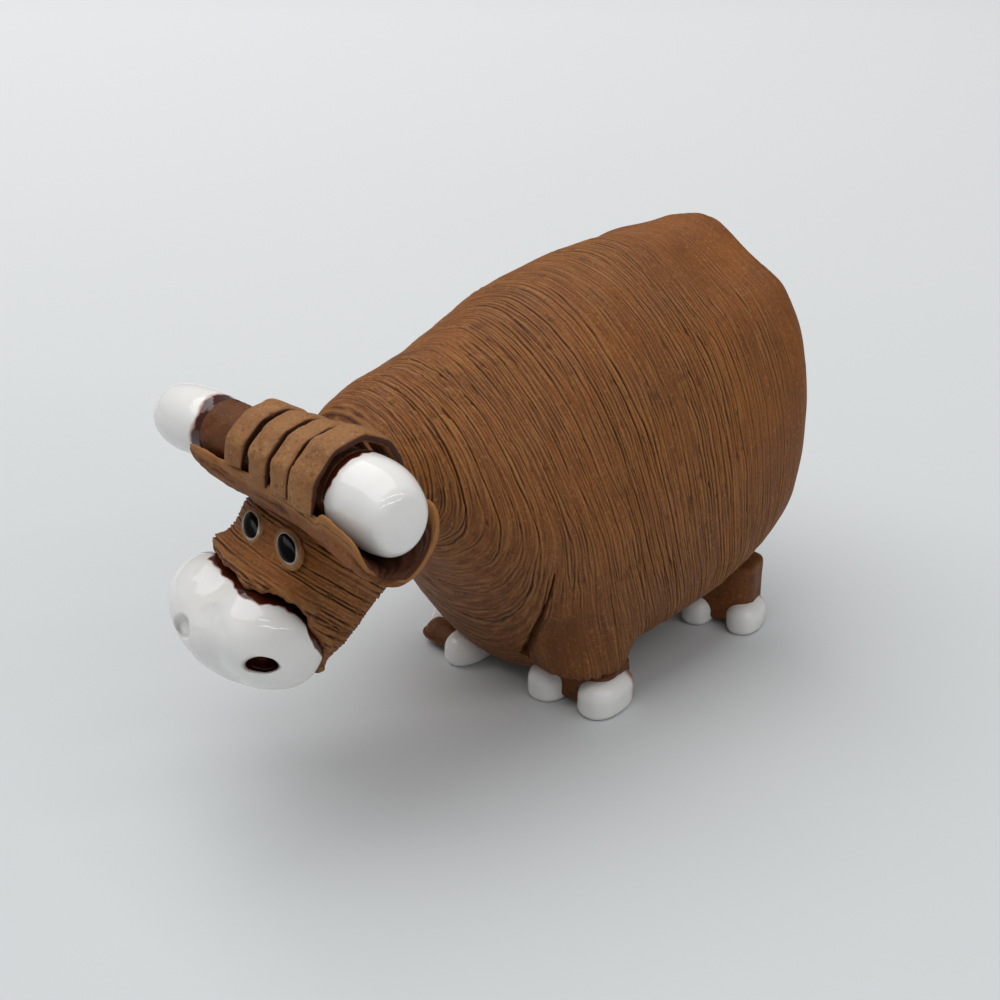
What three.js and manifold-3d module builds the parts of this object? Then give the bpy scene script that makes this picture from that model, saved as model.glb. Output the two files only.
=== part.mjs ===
// Highland cow figurine: hand-built stoneware, a combed clay hide with glazed muzzle, horn tips and toes.
// Millimetres, +Z up, the nose points to -Y and the cow's own left side is +X.
import * as THREE from "three";
import { mergeVertices } from "three/addons/utils/BufferGeometryUtils.js";
import Module from "manifold-3d";

const wasm = await Module();
wasm.setup();

// Driving dimensions
const CLAY_GAP = 0.3; // air left between two neighbouring pieces
const WALL = 4.5; // thickness of the clay hide
const CENTRE_SHIFT = { x: 0.23, y: -0.27 }; // brings the middle of the figurine's outline to the origin

// The hide cut across at y:
// [y, top z, bottom z, half width, z of the widest point, upper squareness, lower squareness]
const HIDE_STATIONS = [
  [-31, 54.5, 40, 8, 48, 2, 2],
  [-24, 57.5, 36, 13.5, 45, 1.75, 1.9],
  [-16, 59.3, 28, 20, 40, 1.55, 1.9],
  [-8, 60.9, 16.5, 23.5, 36, 1.52, 1.9],
  [-1, 62.2, 5.2, 25.3, 34, 1.64, 2],
  [3, 63.1, 2.2, 25.7, 33, 1.7, 2.1],
  [11, 65.1, 3.6, 26.4, 32, 1.8, 2.6],
  [20, 66.1, 5, 26.6, 32, 1.88, 3],
  [30, 64, 5.5, 26.8, 33, 1.95, 3],
  [41, 63.8, 6, 26.6, 35, 2.25, 2.6],
  [50, 64.1, 7, 26.2, 39, 2.75, 2.1],
];
const HIDE_FRONT_Y = -31;
const HIDE_REAR_Y = 50.5;
// The spine and the left hip stand up as low crests that grow towards the rump.
const CRESTS = [
  { x: 2.5, halfWidth: 8, height: 5.2 },
  { x: 20, halfWidth: 5.5, height: 2.2 },
];
const CREST_START_Y = 20;
const RUMP_RADIUS = 6;
const NECK_RADIUS = 2.5;
const END_RINGS = 4;
const OUTSIDE = { rings: 22, sides: 48 };
const HOLLOW = { rings: 10, sides: 24 };
const VENT = { y: 22, radius: 1.5 }; // pinhole in the belly that lets the air out in the kiln

// A front leg, pinched down out of the hide: [z, centre x, centre y, half x, half y]
const LEG_STATIONS = [
  [7, 14.2, 5.2, 7.6, 7.4],
  [14, 13.9, 6, 8.8, 8.8],
  [22, 13, 7, 10.5, 10],
  [32, 11, 7, 11, 11],
];
const LEG_SQUARENESS = 2.3;
const LEG_SIDES = 20;
const LEG_RINGS = 6;
// The right leg came out slimmer, lower, further in and further back than the left one.
const FRONT_LEGS = [
  { side: 1, inward: 0, back: 0, size: 1, hem: 7 },
  { side: -1, inward: 4.3, back: 3.5, size: 0.85, hem: 4.4 },
];
// The knife slit between the chest and the left front leg
const SLIT = { x: 16.2, y: -7.2, z: 17.7, width: 1.2, length: 26.4, reach: 9, turn: -30, lean: 34 };

// Each foot is a clay pad up to height top with two glazed toes, turned outward by splay.
// The pad's upper edge is rounded by slump, and its outer toe is set back by lag.
const FEET = [
  { name: "front_left", x: 14.8, y: 7, top: 6.7, splay: 8, size: 1, slump: 1, lag: 0 },
  { name: "front_right", x: -10.8, y: 4.2, top: 4.1, splay: 0, size: 0.9, slump: 2.6, lag: 5.5 },
  { name: "rear_left", x: 16, y: 42.2, top: 11.5, splay: 18, size: 0.86, slump: 1, lag: 0 },
  { name: "rear_right", x: -16, y: 42.2, top: 11.5, splay: -18, size: 0.86, slump: 1, lag: 0 },
];
const PAD = { halfWidth: 6.4, halfLength: 5.2, bottom: 0.8, round: 1, squareness: 3.4 };
const TOE = {
  spread: 4.7, halfWidth: 3.4, halfLength: 5.2, height: 5.6, forward: 2,
  squareness: 2.6, roundBottom: 1, roundTop: 2.4,
};

// The head stands at this point of the cow; horns and snout each turn a little to its right
const HEAD_PLACE = [-1, -39, 33];
const HORN_YAW = -4;
const SNOUT_YAW = -11;

// The snout in its own frame, tipped nose down: [y, half width, half depth, middle z]
const SNOUT_PITCH = 48;
const SNOUT_STATIONS = [
  [-8.5, 10.2, 8.3, 0.8],
  [-2, 11.4, 9.7, 1.1],
  [3, 11.9, 9.3, 0.9],
  [14, 13.2, 10.4, 1],
];
const SNOUT_SHIFT = 0.6; // the snout's middle lies this much to the cow's left
const SNOUT_SQUARENESS = 2.7;

// The muzzle cut across at x: [x, middle y, middle z, half length, half height]
const MUZZLE_STATIONS = [
  [-13.5, -8.2, 3.4, 1.2, 1.5],
  [-13, -8.3, 3.4, 3, 3.7],
  [-11.8, -8.6, 3.5, 5.2, 6],
  [-7.5, -9.2, 3.4, 7, 7.8],
  [-1, -9.8, 2.3, 7.8, 8.6],
  [5, -8.9, 2.3, 7.3, 8.6],
  [8.8, -8.8, 2.5, 5.9, 7.4],
  [10.9, -8.7, 2.3, 4.3, 5.5],
  [11.9, -8.5, 2, 2.6, 3.4],
  [12.3, -8.5, 2, 1.1, 1.5],
];
const MUZZLE_SQUARENESS = 2.3;
const NOSTRILS = [
  [10.3, -12.4, 5.2],
  [-4.2, -14.6, 8.6],
]; // the middle of each press
const NOSTRIL = { halfX: 2.2, halfY: 1.3, halfZ: 2.1 };

// The eyes lie in sunk ovals on the snout's upper face
const EYES = [
  { name: "right", x: -1.6, y: 3, z: 9.9, lean: 0 },
  { name: "left", x: 7.1, y: 3.4, z: 9.4, lean: 12 },
];
const EYE_TURN = -26; // degrees that the ovals are turned on the face
const EYE_WHITE = { halfWidth: 3, halfLength: 1.65, halfDepth: 1 };
const PUPIL = { halfWidth: 2, halfLength: 1.1, halfDepth: 0.9, rise: 0.5 };

// The horn roll runs across the head: [x, middle y, middle z, radius]
const HORN_STATIONS = [
  [-26.1, -2.3, 18.8, 0.9],
  [-24.6, -2.3, 18.9, 3.6],
  [-21, -2.3, 19, 4.9],
  [-16.5, -2.2, 19.3, 5],
  [-12.5, -2.2, 19.5, 4.7],
  [0, -2.2, 19.8, 4.7],
  [15, -2.2, 20.2, 5.4],
  [18.5, -2.2, 20.2, 6],
  [22.4, -2.2, 19.8, 6],
  [25.6, -2.3, 19.2, 5.1],
  [27, -2.4, 19, 3.9],
  [27.7, -2.4, 18.9, 1.8],
];
const HORN_CORE = { from: -11.6, to: 17.2 }; // the bare clay between the two glazed tips
const HORN_SIDES = 20;
const HORN_BED = 16; // the roll lies this far out to each side on the head

// The four forelock curls, faceted strips bent over the horn roll
const CURLS = { thickness: 1.8, bevel: 0.8, facets: 6, to: 205 };
const CURL_STRIPS = [
  { middle: -1.3, halfWidth: 2.25, from: -1 },
  { middle: 4.4, halfWidth: 2.2, from: -9 },
  { middle: 9.5, halfWidth: 2, from: -9 },
  { middle: 15.2, halfWidth: 2.7, from: -8 },
];

// The ears are one leaf of clay cupped under the horn roll:
// [x, radius, front turn, back turn, half thickness], the turns in degrees from straight down
const EAR_STATIONS = [
  [-12.6, 5.6, 82, 56, 0.3],
  [-10.8, 5.7, 82, 8, 0.5],
  [-7, 5.8, 80, -24, 0.7],
  [0, 5.95, 77, -48, 0.85],
  [12, 6.6, 76, -55, 1],
  [17.8, 7.35, 75, -63, 1],
  [19.6, 7.6, 84, -66, 1],
  [22, 7.7, 84, -72, 1],
  [24.2, 7.7, 84, -73, 0.95],
  [25.6, 7.7, 83, -60, 0.85],
  [26.8, 7.7, 77, -28, 0.7],
  [27.7, 7.7, 62, 2, 0.45],
];

// The tail lies down the rump, a roll of clay with a tuft at its end: [z, middle x, middle y, radius]
const TAIL_STATIONS = [
  [29, 2.3, 53.3, 0.8],
  [31, 2.2, 53.5, 2.2],
  [35, 2, 53.6, 2.7],
  [39, 1.6, 53, 2],
  [42, 1.3, 52.6, 1.6],
  [50, 0.5, 52.5, 1.6],
  [57, 0, 52.6, 1.7],
  [58.4, 0, 52.4, 1],
];

const CLAY = new THREE.MeshStandardMaterial({ color: 0x8a5230, roughness: 0.85, metalness: 0 });
const TAN_CLAY = new THREE.MeshStandardMaterial({ color: 0xa37850, roughness: 0.85, metalness: 0 });
const WHITE_GLAZE = new THREE.MeshStandardMaterial({ color: 0xe9e9e6, roughness: 0.15, metalness: 0 });
const BLACK_GLAZE = new THREE.MeshStandardMaterial({ color: 0x0c0d10, roughness: 0.2, metalness: 0 });

const { lerp, clamp, degToRad } = THREE.MathUtils;

// Cubic curve through the rows of a table, read at t; each row starts with its own t.
function smooth(table, t) {
  const last = table.length - 1;
  let i = 0;
  while (i < last - 1 && t > table[i + 1][0]) i++;
  const [a, b] = [table[i], table[i + 1]];
  const before = table[Math.max(i - 1, 0)];
  const after = table[Math.min(i + 2, last)];
  const span = b[0] - a[0];
  const u = clamp((t - a[0]) / span, 0, 1);
  const ease = u * u * (3 - 2 * u);
  return a.slice(1).map((_, k) => {
    const j = k + 1;
    const leaving = ((b[j] - before[j]) / (b[0] - before[0])) * span;
    const arriving = ((after[j] - a[j]) / (after[0] - a[0])) * span;
    return lerp(a[j], b[j], ease) + u * (1 - u) * ((1 - u) * leaving - u * arriving);
  });
}

// Angles evenly round a ring.
const ringAngles = (sides) => Array.from({ length: sides }, (_, i) => (i / sides) * 2 * Math.PI);

// One point of a superellipse: angle 0 is +a, a quarter turn is +b.
function squaredCircle(angle, halfA, halfB, power) {
  const c = Math.cos(angle);
  const s = Math.sin(angle);
  return [
    Math.sign(c) * Math.abs(c) ** (2 / power) * halfA,
    Math.sign(s) * Math.abs(s) ** (2 / power) * halfB,
  ];
}

// A closed solid skinned over rings of equal length, each an array of [x, y, z].
function loft(rings) {
  const sides = rings[0].length;
  const points = rings.flat();
  const centre = (ring) => [0, 1, 2].map((k) => ring.reduce((sum, p) => sum + p[k], 0) / sides);
  const faces = [];
  for (let r = 0; r + 1 < rings.length; r++)
    for (let i = 0; i < sides; i++) {
      const j = (i + 1) % sides;
      const [a, b, c, d] = [r * sides + i, r * sides + j, (r + 1) * sides + i, (r + 1) * sides + j];
      faces.push(a, b, d, a, d, c);
    }
  const first = points.push(centre(rings[0])) - 1;
  const final = points.push(centre(rings.at(-1))) - 1;
  const lastRing = (rings.length - 1) * sides;
  for (let i = 0; i < sides; i++) {
    const j = (i + 1) % sides;
    faces.push(first, j, i, final, lastRing + i, lastRing + j);
  }
  return solid(
    new THREE.BufferGeometry()
      .setAttribute("position", new THREE.Float32BufferAttribute(points.flat(), 3))
      .setIndex(faces),
  );
}

// A three.js geometry as a manifold solid, turned right side out.
function solid(geometry) {
  const bare = geometry.clone();
  bare.deleteAttribute("normal");
  bare.deleteAttribute("uv");
  const merged = mergeVertices(bare, 1e-4);
  const make = (index) =>
    new wasm.Manifold(
      new wasm.Mesh({
        numProp: 3,
        vertProperties: new Float32Array(merged.attributes.position.array),
        triVerts: new Uint32Array(index),
      }),
    );
  const faces = Array.from(merged.index.array);
  const made = make(faces);
  return made.volume() > 0 ? made : make(faces.reverse());
}

// A manifold solid as a named three.js mesh.
function piece(name, made, material) {
  const { vertProperties, triVerts } = made.getMesh();
  const geometry = new THREE.BufferGeometry()
    .setAttribute("position", new THREE.BufferAttribute(vertProperties, 3))
    .setIndex(new THREE.BufferAttribute(triVerts, 1));
  geometry.computeVertexNormals();
  const mesh = new THREE.Mesh(geometry, material);
  mesh.name = name;
  return mesh;
}

// A solid carried by a matrix, or back out of it.
const carried = (made, matrix) => made.transform(matrix.elements);
const brought = (made, matrix) => made.transform(matrix.clone().invert().elements);

// An egg of the given half sizes about a point.
function egg(halfX, halfY, halfZ, x, y, z) {
  return solid(new THREE.SphereGeometry(1, 14, 8).scale(halfX, halfY, halfZ).translate(x, y, z));
}

// The hide's cross-section at y, swollen by grow.
function hideRing(y, grow, sides) {
  const [top, bottom, halfWidth, widest, upperPower, lowerPower] = smooth(HIDE_STATIONS, y);
  const grown = clamp((y - CREST_START_Y) / (HIDE_REAR_Y - CREST_START_Y), 0, 1);
  return ringAngles(sides).map((angle) => {
    const above = Math.sin(angle) > 0;
    const reach = (above ? top - widest : widest - bottom) + grow;
    const [x, z] = squaredCircle(angle, halfWidth + grow, reach, above ? upperPower : lowerPower);
    let lift = 0;
    for (const crest of above ? CRESTS : [])
      lift += crest.height * Math.exp(-(((x - crest.x) / crest.halfWidth) ** 2));
    return [x, y, widest + z + lift * grown * Math.sin(angle)];
  });
}

// The barrel of the body, its two ends rolled in by a quarter round.
function barrel(grow, { rings: count, sides } = OUTSIDE) {
  const front = HIDE_FRONT_Y - grow;
  const rear = HIDE_REAR_Y + grow;
  const rolledRing = (end, inward, radius, share) => {
    const turn = (share * Math.PI) / 2;
    const inset = radius * (1 - Math.sin(turn));
    return hideRing(end + inward * radius * (1 - Math.cos(turn)), grow - inset, sides);
  };
  const rings = [];
  for (let i = 0; i < END_RINGS; i++) rings.push(rolledRing(front, 1, NECK_RADIUS, i / END_RINGS));
  for (let i = 0; i <= count; i++)
    rings.push(hideRing(lerp(front + NECK_RADIUS, rear - RUMP_RADIUS, i / count), grow, sides));
  for (let i = END_RINGS - 1; i >= 0; i--) rings.push(rolledRing(rear, -1, RUMP_RADIUS, i / END_RINGS));
  return loft(rings);
}

// One front leg, pinched down from the flank; side is +1 on the cow's left.
function frontLeg({ side, inward, back, size, hem }, grow) {
  const low = hem - grow;
  const high = LEG_STATIONS.at(-1)[0];
  const rings = [];
  for (let i = 0; i <= LEG_RINGS; i++) {
    const z = lerp(low, high, i / LEG_RINGS);
    const [cx, cy, halfX, halfY] = smooth(LEG_STATIONS, z);
    rings.push(
      ringAngles(LEG_SIDES).map((angle) => {
        const [dx, dy] = squaredCircle(angle, halfX * size + grow, halfY * size + grow, LEG_SQUARENESS);
        return [side * (cx - inward + dx), cy + back + dy, z];
      }),
    );
  }
  return loft(rings);
}

// The whole outside of the trunk.
function hide(grow) {
  let made = barrel(grow);
  for (const leg of FRONT_LEGS) made = made.add(frontLeg(leg, grow));
  return made;
}

// The hollow trunk with its vent and the knife slit.
function trunk() {
  const vent = new THREE.CylinderGeometry(VENT.radius, VENT.radius, 20, 16).rotateX(Math.PI / 2);
  const slit = new THREE.BoxGeometry(SLIT.reach, SLIT.width, SLIT.length)
    .rotateY(degToRad(SLIT.lean))
    .rotateZ(degToRad(SLIT.turn))
    .translate(SLIT.x, SLIT.y, SLIT.z);
  return hide(0)
    .subtract(barrel(-WALL, HOLLOW))
    .subtract(solid(vent.translate(0, VENT.y, 8)))
    .subtract(solid(slit));
}

// The snout in its own frame, swollen by grow.
function snout(grow) {
  const rings = [];
  const back = SNOUT_STATIONS.at(-1)[0] + grow;
  const front = SNOUT_STATIONS[0][0] - grow;
  for (let i = 0; i <= 8; i++) {
    const y = lerp(back, front, i / 8);
    const [halfWidth, halfDepth, middle] = smooth(SNOUT_STATIONS, y);
    rings.push(
      ringAngles(36).map((angle) => {
        const [dx, dz] = squaredCircle(angle, halfWidth + grow, halfDepth + grow, SNOUT_SQUARENESS);
        return [SNOUT_SHIFT + dx, y, middle + dz];
      }),
    );
  }
  return loft(rings);
}

// The muzzle in the snout's frame, swollen by grow.
function muzzle(grow) {
  const rings = [];
  for (let i = 0; i <= 16; i++) {
    const across = -Math.cos((i / 16) * Math.PI);
    const x = lerp(MUZZLE_STATIONS[0][0], MUZZLE_STATIONS.at(-1)[0], 0.5 + 0.5 * across);
    const [y, z, halfLength, halfHeight] = smooth(MUZZLE_STATIONS, x);
    rings.push(
      ringAngles(22).map((angle) => {
        const [dy, dz] = squaredCircle(angle, halfLength + grow, halfHeight + grow, MUZZLE_SQUARENESS);
        return [x + grow * across, y + dy, z + dz];
      }),
    );
  }
  return loft(rings);
}

// A nostril, pressed into the muzzle.
const nostril = ([x, y, z]) => egg(NOSTRIL.halfX, NOSTRIL.halfY, NOSTRIL.halfZ, x, y, z);

// An oval dome of the eye, turned and leant to lie on the snout.
const eyeDome = (eye, shape, rise, grow) =>
  egg(shape.halfWidth + grow, shape.halfLength + grow, shape.halfDepth + grow, 0, 0, rise)
    .rotate([0, eye.lean, EYE_TURN])
    .translate([eye.x, eye.y, eye.z]);

// The horn roll from one x to another, swollen by grow.
function hornRoll(fromX, toX, count, grow) {
  const rings = [];
  for (let i = 0; i <= count; i++) {
    const x = lerp(fromX, toX, 0.5 - 0.5 * Math.cos((i / count) * Math.PI));
    const [y, z, radius] = smooth(HORN_STATIONS, x);
    const r = radius + grow;
    rings.push(ringAngles(HORN_SIDES).map((angle) => [x, y + r * Math.cos(angle), z + r * Math.sin(angle)]));
  }
  return loft(rings);
}

// One forelock curl, a bevelled strip whose flat facets turn round the horn roll.
function forelockCurl({ middle, halfWidth, from }) {
  const { thickness, bevel, facets, to } = CURLS;
  const [y, z] = smooth(HORN_STATIONS, middle);
  const radius = Math.max(...[-halfWidth, halfWidth].map((x) => smooth(HORN_STATIONS, middle + x)[2]));
  const inner = (radius + 2 * CLAY_GAP) / Math.cos(degToRad((to - from) / facets / 2));
  const outer = inner + thickness;
  const rings = [];
  for (let i = 0; i <= facets; i++) {
    const turn = degToRad(lerp(from, to, i / facets));
    const at = (x, r) => [middle + x, y - r * Math.cos(turn), z + r * Math.sin(turn)];
    rings.push([
      at(-halfWidth, inner),
      at(-halfWidth, outer - bevel),
      at(-halfWidth + bevel, outer),
      at(halfWidth - bevel, outer),
      at(halfWidth, outer - bevel),
      at(halfWidth, inner),
    ]);
  }
  return loft(rings);
}

// The leaf of both ears, cupped round the underside of the horn roll.
function earLeaf(grow) {
  const rings = [];
  for (let i = 0; i <= 18; i++) {
    const across = -Math.cos((i / 18) * Math.PI);
    const x = lerp(EAR_STATIONS[0][0], EAR_STATIONS.at(-1)[0], 0.5 + 0.5 * across);
    const [radius, front, back, thickness] = smooth(EAR_STATIONS, x);
    const [y, z] = smooth(HORN_STATIONS, x);
    const margin = grow / radius;
    const at = (share, r) => {
      const turn = lerp(degToRad(front) + margin, degToRad(back) - margin, share);
      return [x + grow * across, y - r * Math.sin(turn), z - r * Math.cos(turn)];
    };
    const ring = [];
    for (let k = 0; k <= 7; k++) ring.push(at(k / 7, radius - thickness - grow));
    for (let k = 7; k >= 0; k--) ring.push(at(k / 7, radius + thickness + grow));
    rings.push(ring);
  }
  return loft(rings);
}

// The tail and its tuft.
function tail() {
  const rings = [];
  const [from, to] = [TAIL_STATIONS[0][0], TAIL_STATIONS.at(-1)[0]];
  for (let i = 0; i <= 14; i++) {
    const z = lerp(from, to, i / 14);
    const [x, y, radius] = smooth(TAIL_STATIONS, z);
    const point = (angle) => [x + radius * Math.cos(angle), y + radius * Math.sin(angle), z];
    rings.push(ringAngles(12).map(point));
  }
  return loft(rings);
}

// A pad or toe: a squared oval standing on z = 0, its edges rounded at the bottom and at the top.
function pebble(halfX, halfY, height, power, roundBottom, roundTop) {
  const rings = [];
  const ring = (z, inset) =>
    ringAngles(16).map((angle) => {
      const [x, y] = squaredCircle(angle, halfX - inset, halfY - inset, power);
      return [x, y, z];
    });
  for (let i = 0; i <= 2; i++) {
    const turn = (i / 2) * (Math.PI / 2);
    rings.push(ring(roundBottom * (1 - Math.cos(turn)), roundBottom * (1 - Math.sin(turn))));
  }
  for (let i = 0; i <= 3; i++) {
    const turn = (i / 3) * (Math.PI / 2) * 0.95;
    rings.push(ring(height - roundTop * (1 - Math.sin(turn)), roundTop * (1 - Math.cos(turn))));
  }
  return loft(rings);
}

// A group that stands where the matrix says.
function groupAt(matrix) {
  const group = new THREE.Group();
  group.applyMatrix4(matrix);
  return group;
}

const hornPose = new THREE.Matrix4().makeRotationZ(degToRad(HORN_YAW)).setPosition(...HEAD_PLACE);
const snoutPose = new THREE.Matrix4()
  .makeRotationZ(degToRad(SNOUT_YAW))
  .setPosition(...HEAD_PLACE)
  .multiply(new THREE.Matrix4().makeRotationX(degToRad(SNOUT_PITCH)));

// The clay of the head, cut to seat against the hide, the muzzle, the horn roll, the ears and the eyes.
function face() {
  const horns = hornRoll(-HORN_BED, HORN_BED, 8, 2 * CLAY_GAP).add(earLeaf(CLAY_GAP));
  let made = snout(0)
    .subtract(muzzle(CLAY_GAP))
    .subtract(brought(hide(CLAY_GAP), snoutPose))
    .subtract(brought(carried(horns, hornPose), snoutPose));
  for (const eye of EYES) made = made.subtract(eyeDome(eye, EYE_WHITE, 0, CLAY_GAP));
  return made;
}

// The head with its muzzle and eyes.
function head() {
  const group = groupAt(snoutPose);
  const nosed = NOSTRILS.reduce((made, press) => made.subtract(nostril(press)), muzzle(0));
  group.add(piece("head", face(), CLAY));
  group.add(piece("muzzle", nosed, WHITE_GLAZE));
  for (const eye of EYES) {
    const white = eyeDome(eye, EYE_WHITE, 0, 0).subtract(eyeDome(eye, PUPIL, PUPIL.rise, CLAY_GAP));
    group.add(piece(`eye_white_${eye.name}`, white, WHITE_GLAZE));
    group.add(piece(`pupil_${eye.name}`, eyeDome(eye, PUPIL, PUPIL.rise, 0), BLACK_GLAZE));
  }
  return group;
}

// The horn roll in three lengths, with the curls over it and the ears under it.
function hornsAndEars() {
  const group = groupAt(hornPose);
  const [rightEnd, leftEnd] = [HORN_STATIONS[0][0], HORN_STATIONS.at(-1)[0]];
  group.add(piece("horn_core", hornRoll(HORN_CORE.from, HORN_CORE.to, 8, 0), CLAY));
  group.add(piece("horn_tip_left", hornRoll(HORN_CORE.to + CLAY_GAP, leftEnd, 10, 0), WHITE_GLAZE));
  group.add(piece("horn_tip_right", hornRoll(rightEnd, HORN_CORE.from - CLAY_GAP, 10, 0), WHITE_GLAZE));
  CURL_STRIPS.forEach((strip, i) =>
    group.add(piece(`forelock_curl_${i + 1}`, forelockCurl(strip), TAN_CLAY)),
  );
  group.add(piece("ears", earLeaf(0), TAN_CLAY));
  return group;
}

// One toe of a foot, standing on z = low and swollen by grow; k is +1 for the toe on the cow's left.
function toe(foot, k, grow, low) {
  const s = foot.size;
  const back = k * foot.x > 0 ? foot.lag : 0;
  const [halfX, halfY] = [TOE.halfWidth * s + grow, TOE.halfLength * s + grow];
  return pebble(halfX, halfY, TOE.height * s + grow - low, TOE.squareness, TOE.roundBottom, TOE.roundTop)
    .translate([k * TOE.spread * s, back - TOE.forward * s, low]);
}

// A foot: a pad of clay under the hide, cut to seat its two toes.
function footAndToes(foot) {
  const s = foot.size;
  const pose = new THREE.Matrix4().makeRotationZ(degToRad(foot.splay)).setPosition(foot.x, foot.y, 0);
  const hideAbove = brought(hide(CLAY_GAP), pose);
  const group = groupAt(pose);
  const height = foot.top - PAD.bottom;
  let pad = pebble(PAD.halfWidth * s, PAD.halfLength * s, height, PAD.squareness, PAD.round, foot.slump)
    .translate([0, 0, PAD.bottom])
    .subtract(hideAbove);
  for (const k of [-1, 1]) {
    const word = k * foot.x > 0 ? "outer" : "inner";
    pad = pad.subtract(toe(foot, k, CLAY_GAP, -TOE.roundBottom));
    group.add(piece(`toe_${foot.name}_${word}`, toe(foot, k, 0, 0).subtract(hideAbove), WHITE_GLAZE));
  }
  group.add(piece(`foot_${foot.name}`, pad, CLAY));
  return group;
}

const cow = new THREE.Group();
cow.position.set(CENTRE_SHIFT.x, CENTRE_SHIFT.y, 0);
cow.add(piece("trunk", trunk(), CLAY));
cow.add(piece("tail", tail(), CLAY));
cow.add(head());
cow.add(hornsAndEars());
for (const foot of FEET) cow.add(footAndToes(foot));

export default cow;
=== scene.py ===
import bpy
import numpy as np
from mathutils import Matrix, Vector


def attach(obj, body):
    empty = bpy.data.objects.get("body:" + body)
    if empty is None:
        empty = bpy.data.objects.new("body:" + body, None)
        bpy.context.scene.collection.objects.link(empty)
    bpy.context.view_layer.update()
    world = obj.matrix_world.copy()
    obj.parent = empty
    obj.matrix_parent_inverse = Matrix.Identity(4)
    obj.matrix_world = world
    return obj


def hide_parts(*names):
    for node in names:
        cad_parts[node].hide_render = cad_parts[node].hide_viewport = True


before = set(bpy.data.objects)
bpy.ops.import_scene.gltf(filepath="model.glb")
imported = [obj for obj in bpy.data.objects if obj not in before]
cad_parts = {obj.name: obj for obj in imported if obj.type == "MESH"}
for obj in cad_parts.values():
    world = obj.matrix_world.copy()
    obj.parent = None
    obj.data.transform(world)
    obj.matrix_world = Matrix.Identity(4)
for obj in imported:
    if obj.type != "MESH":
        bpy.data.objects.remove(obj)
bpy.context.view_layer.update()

# %% [markdown]
# # A highland cow in combed stoneware
# The real figurine is hand-built: a slab of red-brown stoneware is folded into a body, combed while it is
# soft, and the head, horn roll, curls, ears and feet are pressed on with slip. The muzzle, the horn ends,
# the eyes and the toes are dipped in a thick white glaze. We build each of those pieces as a fine mesh over
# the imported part, whose solids give the main shapes, and add what a comb, a knife and a kiln leave on them.

MM = 0.001
CENTRE_SHIFT = np.array([0.23, -0.27, 0.0])  # from the maker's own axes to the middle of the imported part
print("packed nodes:", len(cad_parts))

# %% [markdown]
# ## Curves and noise
# A potter's shapes have no straight edges, so we write each one as a short table of sections and read a
# smooth curve through it. Clay is also never even. The noise is our own, from whole-number hashing, so that
# every run of the lesson gives the same lumps.


# %% A smooth curve through a table, and smooth noise
def smooth(table, t):
    table, t = np.asarray(table, float), np.asarray(t, float)
    keys = table[:, 0]
    last = len(keys) - 1
    i = np.clip(np.searchsorted(keys, t) - 1, 0, last - 1)
    before, after = np.maximum(i - 1, 0), np.minimum(i + 2, last)
    span = (keys[i + 1] - keys[i])[..., None]
    u = np.clip((t - keys[i])[..., None] / span, 0, 1)
    a, b = table[i, 1:], table[i + 1, 1:]
    leaving = (b - table[before, 1:]) / (keys[i + 1] - keys[before])[..., None] * span
    arriving = (table[after, 1:] - a) / (keys[after] - keys[i])[..., None] * span
    ease = u * u * (3 - 2 * u)
    return np.moveaxis(a + (b - a) * ease + u * (1 - u) * ((1 - u) * leaving - u * arriving), -1, 0)


def noise(points, size, seed=0):
    """Lumps of about the given size in mm, from -1 to 1."""
    p = np.asarray(points, float) / size + 1000.0
    cell = np.floor(p).astype(np.int64)
    f = p - cell
    f = f * f * (3 - 2 * f)
    total = np.zeros(p.shape[:-1])
    for corner in np.ndindex(2, 2, 2):
        x, y, z = (cell[..., k] + corner[k] for k in range(3))
        h = (x * 73856093 ^ y * 19349663 ^ z * 83492791 ^ (seed + 1) * 40503) & 0x7FFFFFFF
        for _ in range(2):
            h = ((h ^ (h >> 13)) * 1103515245 + 12345) & 0x7FFFFFFF
        weight = np.prod([f[..., k] if corner[k] else 1 - f[..., k] for k in range(3)], axis=0)
        total += weight * (((h >> 8) & 0xFFFF) / 32767.5 - 1)
    return total


def step(low, high, x):
    u = np.clip((np.asarray(x, float) - low) / (high - low), 0, 1)
    return u * u * (3 - 2 * u)


# %% [markdown]
# ## From rings to a mesh
# Nearly every piece here is a skin over rings of points, closed at both ends. Working with whole arrays of
# rings makes it easy to push the surface in and out, and to keep facts with every point for the materials,
# such as how deep it lies in a comb's groove or how thin the glaze is there.


# %% Rings, normals and pieces
def normals_of(rings):
    along = np.gradient(rings, axis=0)
    round_ = np.roll(rings, -1, axis=1) - np.roll(rings, 1, axis=1)
    n = np.cross(round_, along)
    n /= np.maximum(np.linalg.norm(n, axis=-1, keepdims=True), 1e-9)
    centre = rings.mean(axis=1, keepdims=True)
    return n if ((rings - centre) * n).sum() > 0 else -n


def pushed(rings, height):
    return rings + normals_of(rings) * height[..., None]


def ring_faces(n, m):
    r, i = np.meshgrid(np.arange(n - 1), np.arange(m), indexing="ij")
    j = (i + 1) % m
    quads = np.stack([r * m + i, r * m + j, (r + 1) * m + j, (r + 1) * m + i], -1).reshape(-1, 4)
    i = np.arange(m)
    j = (i + 1) % m
    first = np.stack([np.full(m, n * m), j, i], -1)
    final = np.stack([np.full(m, n * m + 1), (n - 1) * m + i, (n - 1) * m + j], -1)
    return quads.tolist() + first.tolist() + final.tolist()


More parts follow.
